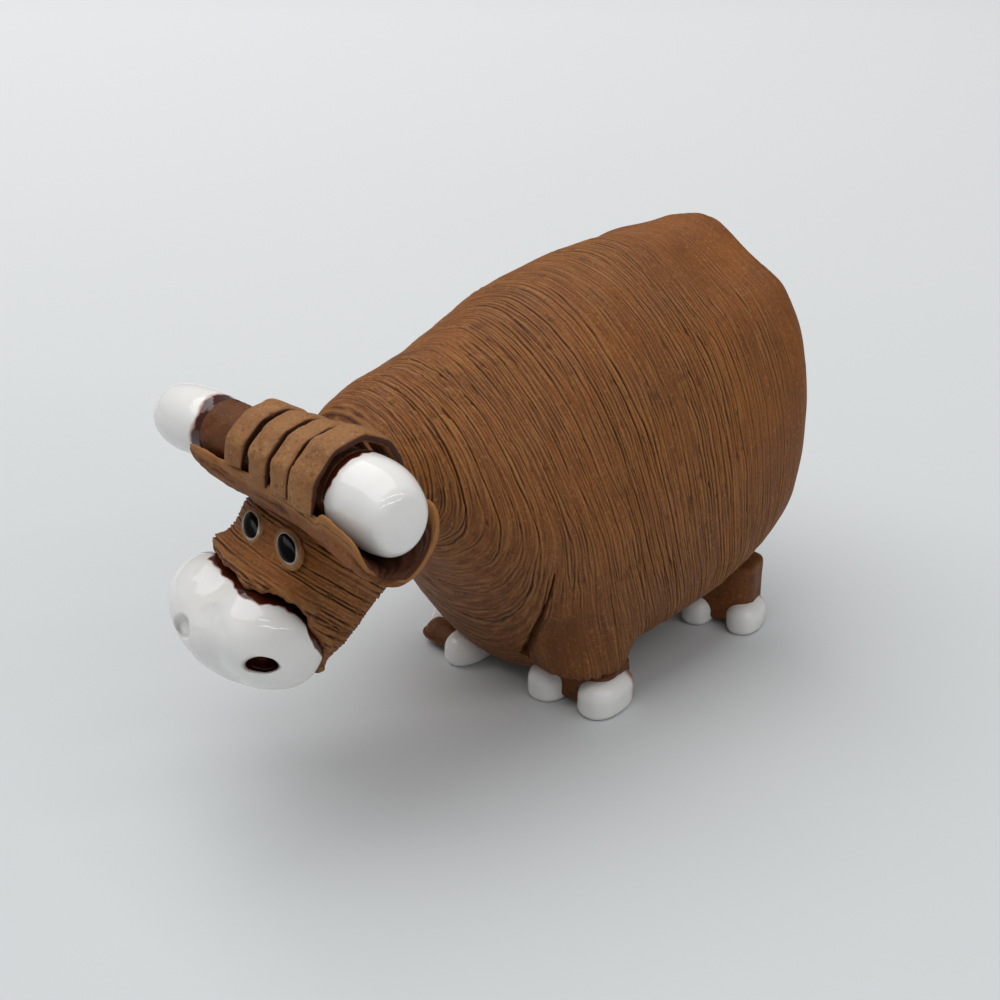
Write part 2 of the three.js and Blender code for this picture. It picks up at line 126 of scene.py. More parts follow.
def closed_mesh(name, rings, place=None):
    """A closed skin over rings in the maker's mm, with its faces turned outward."""
    points = np.concatenate([rings.reshape(-1, 3), rings[:1].mean(1), rings[-1:].mean(1)])
    if place is not None:
        points = points @ place[:3, :3].T + place[:3, 3]
    faces = ring_faces(*rings.shape[:2])
    a, b, c = (points[[f[k] for f in faces]] for k in range(3))
    if (a * np.cross(b, c)).sum() < 0:
        faces = [f[::-1] for f in faces]
    mesh = bpy.data.meshes.new(name)
    mesh.from_pydata(((points + CENTRE_SHIFT) * MM).tolist(), [], faces)
    return mesh


def piece(name, rings, slot, material, replaces=(), place=None, **facts):
    """A piece of the figurine; each fact is a number or a vector for every point of the rings."""
    n, m = rings.shape[:2]
    mesh = closed_mesh(name, rings, place)
    for fact, values in facts.items():
        values = np.broadcast_to(values, (n, m) + np.shape(values)[2:])
        ends = [values[0].mean(0), values[-1].mean(0)]
        flat = np.concatenate([values.reshape((n * m,) + values.shape[2:]), ends])
        kind, field = ("FLOAT_VECTOR", "vector") if flat.ndim == 2 else ("FLOAT", "value")
        mesh.attributes.new(fact, kind, "POINT").data.foreach_set(field, flat.astype(np.float32).ravel())
    mesh.shade_smooth()
    mesh.materials.append(material)
    obj = bpy.data.objects.new(name, mesh)
    bpy.context.scene.collection.objects.link(obj)
    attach(obj, "root")
    if replaces:
        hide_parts(*replaces)
    spots = np.empty(3 * len(mesh.vertices), np.float32)
    mesh.vertices.foreach_get("co", spots)
    size = np.ptp(spots.reshape(-1, 3), axis=0) / MM
    print(f"{name}: {len(mesh.polygons)} faces, {size.round(1)} mm in x, y and z")
    return obj


# %% [markdown]
# ## The comb
# A stiff brush or comb drawn over soft clay leaves furrows 0.5 to 1.5 mm apart. Each one starts and
# stops, runs a little crooked, is deeper where the hand pressed, and pushes up a burr on both sides. A bump
# texture could draw them, but the outline would stay smooth, so we cut them into the mesh. The rings of
# each mesh run the way of the stroke, so that a furrow is a matter of one number, how far along the piece
# it lies, and stays crisp.


# %% Furrows along the rings of a mesh
def combed(rings, along, pitch, deepest, pressure, seed):
    """Height to add, in mm, for furrows at right angles to `along`, a number for each point."""
    rng = np.random.default_rng(seed)
    height = np.zeros(rings.shape[:2])
    spacing = np.abs(np.gradient(along, axis=0))
    squeeze = spacing / np.maximum(np.linalg.norm(np.gradient(rings, axis=0), axis=-1), 1e-6)
    at = along.min() + pitch
    while at < along.max():
        near = (np.abs(along - at) < 1.3).any(axis=1)
        if near.any():
            rows = rings[near]
            width = rng.uniform(0.1, 0.16)
            depth = deepest * rng.choice([0.3, 0.5, 0.7, 1.0], p=[0.3, 0.3, 0.22, 0.18])
            own = seed + 7 * int(at * 37)
            # A tooth wanders a little, and leaves the clay now and then
            crook = 0.35 * noise(rows, 11, seed) + 0.12 * noise(rows, 2.5, own)
            hold = step(-0.45, 0.15, noise(rows * [1, 0.05, 1], rng.uniform(6, 13), own))
            hold = hold * (0.72 + 0.4 * noise(rows, 1.3, own + 1))
            # Distance from the furrow's middle in furrow widths; no furrow is finer than the rings can show
            off = (along[near] - at - crook) / np.maximum(width * squeeze[near], 0.65 * spacing[near])
            furrow = np.exp(-(off**2)) - 0.4 * np.exp(-((np.abs(off) - 2.0) ** 2))
            height[near] -= depth * hold * furrow
        at += pitch * rng.choice([0.6, 0.85, 1.1, 1.5], p=[0.25, 0.35, 0.25, 0.15])
    return height * pressure


def scratched(rings, lines, height):
    """Cuts each line, a row of points in mm with a width and a depth, into the height."""
    for points, width, depth in lines:
        points = np.asarray(points, float)
        lengths = np.linalg.norm(np.diff(points, axis=0), axis=1)
        total = lengths.sum()
        away = np.full(rings.shape[:2], 9.0)
        run = np.zeros(rings.shape[:2])
        begun = 0.0
        for a, b, length in zip(points[:-1], points[1:], lengths):
            u = np.clip(((rings - a) @ (b - a)) / length**2, 0, 1)
            gap = np.linalg.norm(rings - a - u[..., None] * (b - a), axis=-1)
            closer = gap < away
            away = np.where(closer, gap, away)
            run = np.where(closer, (begun + u * length) / total, run)
            begun += length
        taper = np.sqrt(np.clip(4 * run * (1 - run), 0, 1))
        off = away / (width * (0.4 + 0.6 * taper))
        height = height - depth * taper * (np.exp(-(off**2)) - 0.12 * np.exp(-((off - 2) ** 2)))
    return height


# %% [markdown]
# ## Finishes
# There are two clays and three glazes: bare stoneware that the fire turned red-brown, the same clay where
# rubbing and iron-poor slip left it tan, a glossy tin-white glaze, the same glaze rubbed thin round the
# pupils, and an iron-black one on them. Each starts from typical values for the real material. The colours
# are written as they look on a screen, and one function turns them to linear light.


# %% Colours and nodes
def linear(code):
    s = np.array([int(code[i : i + 2], 16) / 255 for i in (1, 3, 5)])
    return (*np.where(s <= 0.04045, s / 12.92, ((s + 0.055) / 1.055) ** 2.4), 1.0)


def add(tree, kind, settings=None, inputs=None):
    node = tree.nodes.new(kind)
    for name, value in (settings or {}).items():
        setattr(node, name, value)
    for name, value in (inputs or {}).items():
        if isinstance(value, bpy.types.NodeSocket):
            tree.links.new(value, node.inputs[name])
        else:
            node.inputs[name].default_value = value
    return node


MIX_FACTOR, MIX_A, MIX_B, MIX_RESULT = 0, 6, 7, 2  # sockets of a Mix node that mixes colours


def fresh_material(name):
    material = bpy.data.materials.new(name)
    material.use_nodes = True
    material.node_tree.nodes.clear()
    return material, material.node_tree


def finished(tree, settings):
    shader = add(tree, "ShaderNodeBsdfPrincipled", {}, settings)
    add(tree, "ShaderNodeOutputMaterial", {}, {"Surface": shader.outputs["BSDF"]})


# %% [markdown]
# ### Combed stoneware
# Unglazed stoneware is matte with a faint sheen where the comb burnished it. Its colour wanders from
# orange-brown to umber over about 10 mm, with iron specks a few tenths of a millimetre across. The colour
# also carries painted shade: it darkens low on the animal, in the furrows and in hollows, and a painted
# highlight pales the raised burrs. Clay has an IOR near 1.45 and is rough all over, about 0.6. The finest
# hairs of the comb, about 0.3 mm apart, are too fine for the mesh: a noise stretched along the stroke draws
# them, where the comb pressed.


# %% Bare clay, for the combed body and for the paler rubbed pieces
def stoneware(name, body, patch, umber, burr, furrow, roughness):
    material, tree = fresh_material(name)
    place = add(tree, "ShaderNodeTexCoord").outputs["Object"]

    def pattern(size_mm, detail, vector=place, roughness=0.5):
        inputs = {"Vector": vector, "Scale": 1000 / size_mm, "Detail": detail, "Roughness": roughness}
        return add(tree, "ShaderNodeTexNoise", {}, inputs).outputs["Fac"]

    def ramp(value, low, high, top=1.0):
        inputs = {"Value": value, "From Min": low, "From Max": high, "To Max": top}
        return add(tree, "ShaderNodeMapRange", {"clamp": True}, inputs).outputs["Result"]

    def mixed(factor, a, b):
        inputs = {MIX_FACTOR: factor, MIX_A: a, MIX_B: b}
        return add(tree, "ShaderNodeMix", {"data_type": "RGBA"}, inputs).outputs[MIX_RESULT]

    def fact(word, output):
        return add(tree, "ShaderNodeAttribute", {"attribute_name": word}).outputs[output]

    # Wide clouds of colour, then painted shade that darkens the clay low on the animal
    colour = mixed(ramp(pattern(12, 3), 0.4, 0.62), linear(body), linear(patch))
    colour = mixed(ramp(pattern(5, 4), 0.5, 0.75, 0.55), colour, linear(umber))
    level = add(tree, "ShaderNodeSeparateXYZ", {}, {"Vector": place}).outputs["Z"]
    colour = mixed(ramp(level, 0.034, 0.006, 0.55), colour, linear(umber))
    # The stroke's hairs, from a vector that the mesh keeps in furrow widths and not in metres
    hairs = pattern(1000, 3, fact("stroke", "Vector"), 0.6)
    hairs = add(tree, "ShaderNodeMath", {"operation": "SUBTRACT"}, {0: hairs, 1: 0.5}).outputs["Value"]
    hairs = add(tree, "ShaderNodeMath", {"operation": "MULTIPLY"}, {0: hairs, 1: fact("combing", "Fac")})
    hairs = hairs.outputs["Value"]
    colour = mixed(ramp(hairs, 0.03, 0.15, 0.5), colour, linear(furrow))
    colour = mixed(ramp(hairs, -0.02, -0.14, 0.6), colour, linear(burr))
    # Dark iron specks and pale grit, then a painted highlight on the raised burrs and painted shade in the
    # furrows and hollows, as the mesh marks them
    colour = mixed(ramp(pattern(0.45, 3), 0.54, 0.68, 0.5), colour, linear(umber))
    colour = mixed(ramp(pattern(0.6, 2), 0.42, 0.28, 0.5), colour, linear(burr))
    colour = mixed(ramp(fact("burr", "Fac"), 0.0, 1.0, 0.6), colour, linear(burr))
    colour = mixed(ramp(fact("furrow", "Fac"), 0.0, 1.0, 0.92), colour, linear(furrow))
    grit = pattern(0.4, 4)
    rough = add(tree, "ShaderNodeMapRange", {"clamp": True},
                {"Value": grit, "From Min": 0.3, "From Max": 0.7, "To Min": roughness - 0.08,
                 "To Max": roughness + 0.1}).outputs["Result"]
    relief = add(tree, "ShaderNodeBump", {}, {"Height": hairs, "Strength": 0.8, "Distance": 0.0002})
    relief = add(tree, "ShaderNodeBump", {}, {"Height": grit, "Strength": 0.6, "Distance": 0.00016,
                                              "Normal": relief.outputs["Normal"]})
    finished(tree, {"Base Color": colour, "Roughness": rough, "IOR": 1.45, "Specular IOR Level": 0.35,
                    "Normal": relief.outputs["Normal"]})
    return material


combed_stoneware = stoneware("combed_stoneware", body="#7c4820", patch="#894f1c", umber="#5a3315",
                             burr="#a4713d", furrow="#2e0d06", roughness=0.62)
rubbed_stoneware = stoneware("rubbed_stoneware", body="#8e6038", patch="#986a3f", umber="#6c4123",
                             burr="#b4875a", furrow="#38130a", roughness=0.66)
print("clays:", combed_stoneware.name, rubbed_stoneware.name)

# %% [markdown]
# ### Glazes
# A tin-white glaze is glass with fine crystals in it: IOR about 1.5, almost mirror-smooth, so it shows the
# strip lights as crisp lines. It pulls back from edges as it melts, and where it lies thin the red clay
# shows through as brownish pink. A thick coat also flows, so its surface waves a little over 5 mm. Round
# the pupils it was rubbed thin and grey, and is duller. The pupils' black comes from iron. Its gloss is
# held low, because the wide soft lamp would otherwise turn so small a dome grey.


# %% Tin-white, rubbed and iron-black glazes
def glaze(name, thick, thicker, thin, shaded_bare, roughness, specular=0.5):
    material, tree = fresh_material(name)
    place = add(tree, "ShaderNodeTexCoord").outputs["Object"]
    drift = add(tree, "ShaderNodeTexNoise", {},
                {"Vector": place, "Scale": 1000 / 5, "Detail": 2.0}).outputs["Fac"]
    # The mesh says how thin the coat is, and a finer noise makes that edge uneven
    edge = add(tree, "ShaderNodeTexNoise", {}, {"Vector": place, "Scale": 1000 / 1.3, "Detail": 4.0})
    edge = add(tree, "ShaderNodeMapRange", {},
               {"Value": edge.outputs["Fac"], "To Min": -0.25, "To Max": 0.25})
    thinned = add(tree, "ShaderNodeAttribute", {"attribute_name": "thin"}).outputs["Fac"]
    thinned = add(tree, "ShaderNodeMath", {"operation": "ADD"}, {0: thinned, 1: edge.outputs["Result"]})
    colour = add(tree, "ShaderNodeMix", {"data_type": "RGBA"},
                 {MIX_FACTOR: drift, MIX_A: linear(thick), MIX_B: linear(thicker)}).outputs[MIX_RESULT]
    # Where the glaze thins out to bare clay, that clay is painted very dark: bare clay, and painted shade in
    # the gaps and hollows where the glaze stops
    for low, high, tint in ((0.25, 0.7, thin), (0.65, 1.0, shaded_bare)):
        share = add(tree, "ShaderNodeMapRange", {"clamp": True},
                    {"Value": thinned.outputs["Value"], "From Min": low, "From Max": high})
        colour = add(tree, "ShaderNodeMix", {"data_type": "RGBA"},
                     {MIX_FACTOR: share.outputs["Result"], MIX_A: colour, MIX_B: linear(tint)})
        colour = colour.outputs[MIX_RESULT]
    relief = add(tree, "ShaderNodeBump", {}, {"Height": drift, "Strength": 0.25, "Distance": 0.0006})
    finished(tree, {"Base Color": colour, "Roughness": roughness, "IOR": 1.5,
                    "Specular IOR Level": specular, "Normal": relief.outputs["Normal"]})
    return material


white_glaze = glaze("tin_white_glaze", thick="#eceae6", thicker="#f2f1ee", thin="#bd978a", shaded_bare="#3f170d",
                    roughness=0.07)
rubbed_glaze = glaze("rubbed_white_glaze", thick="#b5aea2", thicker="#c2bcb0", thin="#94785f",
                     shaded_bare="#6a4a30", roughness=0.2)
black_glaze = glaze("iron_black_glaze", thick="#030304", thicker="#050507", thin="#0a0605", shaded_bare="#0a0605",
                    roughness=0.18, specular=0.15)
print("glazes:", white_glaze.name, rubbed_glaze.name, black_glaze.name)

# %% [markdown]
# ## The body
# The hide is one folded slab. It is narrow at the neck, widest at the belly, and its spine and left hip
# stand up as crests towards the rump. Both front legs are pinched down out of the same slab, so the body
# and the legs are one skin: from a line through the middle of the body we look outward at every angle, and
# take the body's surface or the leg's, whichever is further out, blended where they meet.

# %% The hide's tables
# y, top z, bottom z, half width, z of the widest point, upper squareness, lower squareness
HIDE = [
    [-31, 54.5, 40, 8, 48, 2, 2], [-24, 57.5, 36, 13.5, 45, 1.75, 1.9], [-16, 59.3, 28, 20, 40, 1.55, 1.9],
    [-8, 60.9, 16.5, 23.5, 36, 1.52, 1.9], [-1, 62.2, 5.2, 25.3, 34, 1.64, 2],
    [3, 63.1, 2.2, 25.7, 33, 1.7, 2.1], [11, 65.1, 3.6, 26.4, 32, 1.8, 2.6],
    [20, 65.9, 5, 26.6, 32, 1.88, 3], [30, 65.6, 5.5, 26.7, 33, 1.95, 3],
    [41, 63.8, 6, 26.6, 35, 2.25, 2.6], [50, 64.1, 7, 26.2, 39, 2.75, 2.1],
]
HIDE_FRONT, HIDE_REAR = -31, 50.5
NECK_ROUND, RUMP_ROUND = 2.5, 6.0  # radii of the rolled edges at both ends
CRESTS = [(2.5, 8, 5.2), (20, 5.5, 2.2)]  # x, half width, height
CREST_START = 20  # y where the crests begin to rise towards the rump
# z, centre x, centre y, half x, half y of a front leg
LEG = [[7, 14.2, 5.2, 7.6, 7.4], [14, 13.9, 6, 8.8, 8.8], [22, 13, 7, 10.5, 10], [32, 11, 7, 11, 11]]
LEG_SQUARENESS = 2.3
FRONT_LEGS = [(1, 0, 0, 1, 7), (-1, 4.3, 3.5, 0.85, 4.4)]  # side, inward, back, size, z of the hem
LEG_FILLET = 2.2  # mm over which body and leg run into each other

# How far the comb's stroke swings back, in mm, low on the flank, where it gathers towards the leg
SWING = [[-31, 0.5], [-28, 1.5], [-24, 3], [-20, 4.6], [-14, 7.4], [-8, 10], [-2, 13.5], [5, 13.5],
         [12, 12], [20, 9.5], [30, 6.5], [40, 3.5], [51, 0]]
# Height where a stroke begins to swing, and how far below it the swing is complete, along the body
SWING_FROM = [[-31, 46, 22], [-20, 46, 24], [-10, 46, 31], [0, 44, 34], [51, 44, 34]]


# %% The outside of body and legs at any y and angle
def body_reach(y, angle):
    """How far out the body goes from its middle line, and the height of that line."""
    top, bottom, half, widest, up_power, low_power = smooth(HIDE, y)
    c, s = np.cos(angle), np.sin(angle)
    above = s > 0
    power = np.where(above, up_power, low_power)
    reach = np.where(above, top - widest, widest - bottom)
    return ((np.abs(c) / half) ** power + (np.abs(s) / reach) ** power) ** (-1 / power), widest


def leg_reach(y, angle, widest, side, inward, back, size, hem):
    """How far out a front leg goes along the same rays, or 0 where a ray misses it."""
    out = np.zeros_like(y)
    near = (np.sin(angle) < 0) & (np.abs(y - 6 - back) < 13)
    y, c, s, widest = y[near], np.cos(angle[near]), np.sin(angle[near]), widest[near]
    reach = np.zeros_like(y)
    for r in np.arange(12, 46, 0.25):
        x, z = c * r, widest + s * r
        cx, cy, hx, hy = smooth(LEG, z)
        across = np.abs((x * side - cx + inward) / (hx * size)) ** LEG_SQUARENESS
        ahead = np.abs((y - cy - back) / (hy * size)) ** LEG_SQUARENESS
        inside = np.minimum(1 - across - ahead, (z - hem) / 4)
        reach = np.where((inside > 0) & (z < 32), r + 0.25 * np.clip(inside * 8, 0, 1), reach)
    out[near] = reach
    return out


def hide_points(y, angle, inset):
    out, widest = body_reach(y, angle)
    for leg in FRONT_LEGS:
        reach = leg_reach(y, angle, widest, *leg)
        blend = np.clip(LEG_FILLET - np.abs(out - reach), 0, None) / LEG_FILLET
        out = np.maximum(out, reach) + blend**2 * LEG_FILLET / 4
    out = out - inset
    x, z = np.cos(angle) * out, np.sin(angle) * out
    grown = (y - CREST_START) / (HIDE_REAR - CREST_START)
    grown = np.clip(0.5 * (grown + np.sqrt(grown**2 + 0.006)), 0, 1)
    for at, width, height in CRESTS:
        z = z + np.clip(np.sin(angle), 0, 1) * height * np.exp(-(((x - at) / width) ** 2)) * grown
    return np.stack([x, y, widest + z], -1)


# %% [markdown]
# The rings follow the comb: where its strokes swing back towards the leg, so do the rings. That lets one
# ring be the bottom of one furrow all round. The rings lie 0.1 mm apart and their points up to 0.8 mm,
# since a furrow is narrow across the stroke and long along it. The swing depends on the height of a point,
# and the height on where the swing puts it, so we go round that loop four times.

# %% The body's rings
RING_STEP = 0.105
SIDES = 240
quarter_in, quarter_out = np.linspace(0, np.pi / 2, 9)[:-1], np.linspace(np.pi / 2, 0, 40)[1:]
middle = np.arange(HIDE_FRONT + NECK_ROUND, HIDE_REAR - RUMP_ROUND, RING_STEP)
along = np.concatenate([HIDE_FRONT + NECK_ROUND * (1 - np.cos(quarter_in)), middle,
                        HIDE_REAR - RUMP_ROUND * (1 - np.cos(quarter_out))])
inset = np.concatenate([NECK_ROUND * (1 - np.sin(quarter_in)), middle * 0,
                        RUMP_ROUND * (1 - np.sin(quarter_out))])
angle = np.linspace(0, 2 * np.pi, SIDES, endpoint=False)
s_grid = np.repeat(along[:, None], SIDES, 1)
a_grid = np.repeat(angle[None], len(along), 0)
y_grid = s_grid
for _ in range(4):
    reach, widest = body_reach(y_grid, a_grid)
    level = widest + np.sin(a_grid) * reach
    swing_from, swing_depth = smooth(SWING_FROM, s_grid)
    sag = np.clip((swing_from - level) / swing_depth, 0, 1.15) ** 1.8
    y_grid = 0.5 * (y_grid + s_grid + smooth(SWING, s_grid)[0] * sag)
y_grid = np.minimum(y_grid, HIDE_REAR - (HIDE_REAR - s_grid) * 0.2)
hide = hide_points(y_grid, a_grid, inset[:, None])
print("body rings:", hide.shape)

# %% [markdown]
# Now the maker's marks. The comb presses hard on the neck, chest and flank and lightly towards the rump,
# where the clay was smoothed with a wet finger, as it was on the leg's edge behind the slit. A few strokes
# went much deeper. Crumbs of clay, torn loose by the comb, stick along the spine, and the surface under it
# all is a little lumpy. Two combs, one fine and one coarse, come closer to the real skin than one.

# %% Comb, gouges and crumbs on the body
# Points along each deep stroke, its width and its depth
GOUGES = [
    ([(6.9, -19.5, 56.1), (10.6, -19.8, 53), (14.3, -20, 48.4), (16.7, -19.6, 44)], 0.3, 0.65),
    ([(16.9, -19.4, 43.4), (18.2, -18.7, 37.9), (17.8, -16.6, 32.1)], 0.15, 0.25),
    ([(1.6, -7.4, 61.2), (6.1, -7.4, 59.3), (10.1, -8.1, 56.5), (13.3, -8.6, 53.4), (14.4, -8.8, 52.3)],
     0.2, 0.4),
    ([(2.2, -6.5, 61.2), (6.6, -6.5, 59.4), (10.6, -7.1, 56.8), (13.6, -7.6, 54)], 0.16, 0.3),
]
pressure = 1 - 0.4 * step(20, 40, s_grid) - 0.35 * step(38, 47, s_grid)
pressure *= np.clip(0.85 + 0.5 * noise(hide, 9, 3), 0.3, 1.2)
smooth_patch = np.exp(-(((hide[..., 0] - 18) / 6) ** 2 + ((hide[..., 1] + 2) / 3) ** 2
                        + ((hide[..., 2] - 14) / 8) ** 2))
pressure *= 1 - 0.9 * smooth_patch
marks = combed(hide, s_grid, 0.55, 0.32, pressure, 11)
marks += combed(hide, s_grid + 1.2 * noise(hide, 16, 13), 1.5, 0.38, pressure, 47)
marks = scratched(hide, GOUGES, marks)
crumbs = step(0.45, 0.7, noise(hide, 0.9, 5)) * step(12, 2, np.abs(hide[..., 0] - 4))
crumbs *= step(-28, -24, s_grid)
crumbs *= step(6, -8, s_grid) * (hide[..., 2] > 45)
# Painted shade darkens the pits and furrows, and a painted highlight lightens the raised burrs and the crumbs
pits = step(0.6, 0.8, noise(hide, 1.1, 9)) * pressure
lumps = 0.3 * noise(hide, 14, 1) + 0.12 * noise(hide, 4, 2)
furrow = np.clip(-marks / 0.2, 0, 1) + 0.3 * pits
burr = np.clip(marks / 0.06, 0, 1) + 0.5 * crumbs
edge_room = step(0, 3, s_grid - HIDE_FRONT) * step(0, 0.2, hide[..., 2] - 2)
height = (marks + 0.25 * crumbs - 0.2 * pits + lumps) * edge_room
height -= 0.32 * step(66.4, 67.3, hide[..., 2])  # the crest is rubbed down, and stays within its size
stroke = np.stack([s_grid / 0.3, np.cos(a_grid) * 30 / 9, np.sin(a_grid) * 30 / 9], -1)
combing = np.clip(pressure * 1.3, 0.25, 1)
hide = pushed(hide, height)
caps = np.linspace(1, 0.04, 22)[1:]
last = hide[-1]
end = last.mean(0)
caps = [end + (last - end) * f + np.array([0, 1.0 * (1 - f * f), 0]) for f in caps]
rump = len(caps)
hide = np.concatenate([hide, np.array(caps)])
furrow, burr = (np.pad(fact, ((0, rump), (0, 0))) for fact in (furrow, burr))
combing = np.pad(combing, ((0, rump), (0, 0)), "edge")
stroke = np.pad(stroke, ((0, rump), (0, 0), (0, 0)), "edge")
stroke[-rump:] = hide[-rump:] * [0.12, 0, 0.12]
hide_piece = piece("hide", hide, "combed_clay", combed_stoneware, ["trunk"], furrow=furrow, burr=burr,
                   stroke=stroke, combing=combing)

# %% [markdown]
# ## The knife slit and the vent
# One cut separates the chest from the left front leg, and a pinhole in the belly lets the air out in the
# kiln. Both are sharp, so we cut them out of the finished mesh with a boolean. Pushing the rings in would
# round their edges. The blade is a long wedge that leans with the slit and opens towards the foot.


# %% Cutting with a blade and a pin
def cut(target, rings):
    """Takes the closed skin over the rings out of a finished piece."""
    tool = bpy.data.objects.new("cutter", closed_mesh("cutter", rings))
    bpy.context.scene.collection.objects.link(tool)
    modifier = target.modifiers.new("cut", "BOOLEAN")
    modifier.object, modifier.operation, modifier.solver = tool, "DIFFERENCE", "EXACT"
    bpy.context.view_layer.update()
    result = bpy.data.meshes.new_from_object(target.evaluated_get(bpy.context.evaluated_depsgraph_get()))
    target.modifiers.clear()
    target.data = result
    bpy.data.objects.remove(tool)
    print(target.name, "after the cut:", len(result.polygons), "faces")


SLIT_MIDDLE = np.array([16.6, -6.0, 17.9])
# The slit's own directions: up along it, outward from the wall, and across it
up_slit = np.array([0.484, -0.28, 0.829])
outward_slit = np.array([0.718, -0.4145, -0.559])
across = np.array([0.5, 0.866, 0.0])
t = np.linspace(-13.2, 13.2, 40)
half_width = 0.3 * np.sqrt(np.clip((13.3 - t) / 3, 0.03, 1)) + 0.75 * step(9, -12, t)
half_width = half_width + 0.07 * np.sin(t * 1.7)
blade = np.stack([
    SLIT_MIDDLE + up_slit * t[:, None] + outward_slit * reach + across * (half_width * side * share)[:, None]
    for reach, side, share in ((7, -1, 1.0), (7, 1, 1.0), (-3.2, 1, 0.6), (-3.2, -1, 0.6))], 1)
cut(hide_piece, blade)
VENT_RADIUS, VENT_Y = 1.5, 22
turn = np.linspace(0, 2 * np.pi, 28, endpoint=False)
pin = np.stack([np.stack([VENT_RADIUS * np.cos(turn), VENT_Y + VENT_RADIUS * np.sin(turn), turn * 0 + z], -1)
                for z in np.linspace(2, 10.5, 6)])
cut(hide_piece, pin)

# %% [markdown]
# ## The head
# The snout is a squared block of clay tipped nose down. Its front edge was torn as it was pressed over the
# glazed muzzle: a ragged lip stands about 1 mm off the glaze, with a dark gap under it. One could model the
# head and the muzzle as one skin, but the lip throws a real shadow, so the head is a sleeve of its own
# whose last rings roll over the lip and tuck under it. Nose, eyes and comb marks are placed along its own
# axes, and one matrix tips it all.

# %% Where the head stands
HEAD_PLACE = Vector((-1, -39, 33))
horn_place = np.array(Matrix.Translation(HEAD_PLACE) @ Matrix.Rotation(np.radians(-4), 4, "Z"))
snout_place = np.array(Matrix.Translation(HEAD_PLACE) @ Matrix.Rotation(np.radians(-11), 4, "Z")
                       @ Matrix.Rotation(np.radians(48), 4, "X"))
# y, half width, half depth, middle z of the snout, in its own axes
SNOUT = [[-8.5, 10.2, 8.3, 0.8], [-2, 11.4, 9.7, 1.1], [3, 11.9, 9.3, 0.9], [14, 13.2, 10.4, 1]]
SNOUT_SHIFT, SNOUT_SQUARENESS = 0.6, 2.7
# y of the torn lip by angle round the snout, 0 on the cow's left and 90 on top
LIP = [[-180, -4.0], [-150, -6], [-120, -8.0], [-90, -8.6], [-60, -8.8], [-40, -8.4], [-25, -7.2],
       [-10, -5.0], [0, -3.6], [25, -2.2], [45, -2.4], [60, -3.0], [90, -3.2], [110, -2.6], [128, -1.6],
       [150, -2.6], [180, -4.0]]


def squared(angle, power):
    """A circle swollen towards a square: 2 leaves it round, and more makes corners."""
    c, s = np.cos(angle), np.sin(angle)
    return np.sign(c) * np.abs(c) ** (2 / power), np.sign(s) * np.abs(s) ** (2 / power)


def even_angles(sides, half_a, half_b, power):
    """Angles that put points evenly round a squared oval."""
    fine = np.linspace(0, 2 * np.pi, 1441)
    x, z = squared(fine, power)
    run = np.concatenate([[0], np.cumsum(np.hypot(np.diff(x * half_a), np.diff(z * half_b)))])
    return np.interp(np.linspace(0, run[-1], sides, endpoint=False), run, fine)


# %% The snout's rings, its torn lip and its comb marks
snout_angle = even_angles(210, 11.5, 9.5, SNOUT_SQUARENESS)
degrees = (np.degrees(snout_angle) + 180) % 360 - 180
ragged = np.stack([11 * np.cos(snout_angle), 0 * snout_angle, 9 * np.sin(snout_angle)], -1)
lip_y = smooth(LIP, degrees)[0] + 0.55 * noise(ragged, 2.6, 21) + 0.3 * noise(ragged, 0.9, 22) - 0.25
share = np.linspace(0, 1, 180)[:, None]
snout_y = 14 + (lip_y[None] - 14) * share
# The lip rolls under: how far each last ring lies in front of the lip's line, and how far inside
tuck = [(0.0, 0.3), (0.2, 0.55), (0.6, 0.6), (1.1, 0.35), (1.5, -0.4), (2.2, -1.6), (4.0, -2.2)]
lip_rows = np.concatenate([snout_y, [lip_y - forward for _, forward in tuck]])
lip_inset = np.concatenate([np.zeros(len(snout_y)), [depth for depth, _ in tuck]])[:, None]
half_width, half_depth, mid_z = smooth(SNOUT, np.clip(lip_rows, -8.5, 14))
unit_x, unit_z = squared(snout_angle[None], SNOUT_SQUARENESS)
snout = np.stack([SNOUT_SHIFT + unit_x * (half_width - lip_inset), lip_rows,
                  mid_z + unit_z * (half_depth - lip_inset)], -1)
face_press = 0.85 + 0.45 * noise(snout, 6, 31) + 0.35 * step(6, 11, snout[..., 0])
# The clay round the eyes was pressed smooth
eye_calm = np.exp(-(((snout[..., 0] - 3) / 6.5) ** 2 + ((snout[..., 1] - 2) / 3.2) ** 2))
eye_calm = eye_calm * (snout[..., 2] > 4)
face_press *= 1 - 0.85 * eye_calm
face_marks = combed(snout, 14 - snout[..., 1], 0.58, 0.48, face_press, 61)
face_marks = np.where(np.arange(len(snout))[:, None] < len(snout_y), face_marks, 0)
flap = np.exp(-(((degrees - 122) / 14) ** 2))
lip_swell = (0.45 + 0.5 * flap) * np.exp(-(((snout[..., 1] - lip_y - 0.5) / (0.8 + 0.5 * flap)) ** 2))
lip_swell *= 1 + 0.9 * noise(snout, 2, 33)
rough = 0.16 * noise(snout, 2.2, 32) + 0.08 * noise(snout, 0.8, 34)
inner = np.clip(lip_inset / 0.5, 0, 1) * np.ones_like(face_marks)
inner[-4:] = 1
face_stroke = np.stack([snout[..., 1] / 0.32, snout_angle[None] * 11 / 8 + 0 * inner, 0 * inner], -1)
snout = pushed(snout, face_marks + (lip_swell + rough) * (1 - inner))
# Painted shade: the comb's furrows and the lip's tucked-under rows take the dark furrow colour; a painted
# highlight lightens the raised crests and the swollen lip
piece("head_clay", snout, "combed_clay", combed_stoneware, ["head"], snout_place,
      furrow=np.clip(-face_marks / 0.2 + inner, 0, 1), burr=np.clip(face_marks / 0.06 + lip_swell, 0, 1),
      stroke=face_stroke, combing=np.clip(face_press, 0, 1))
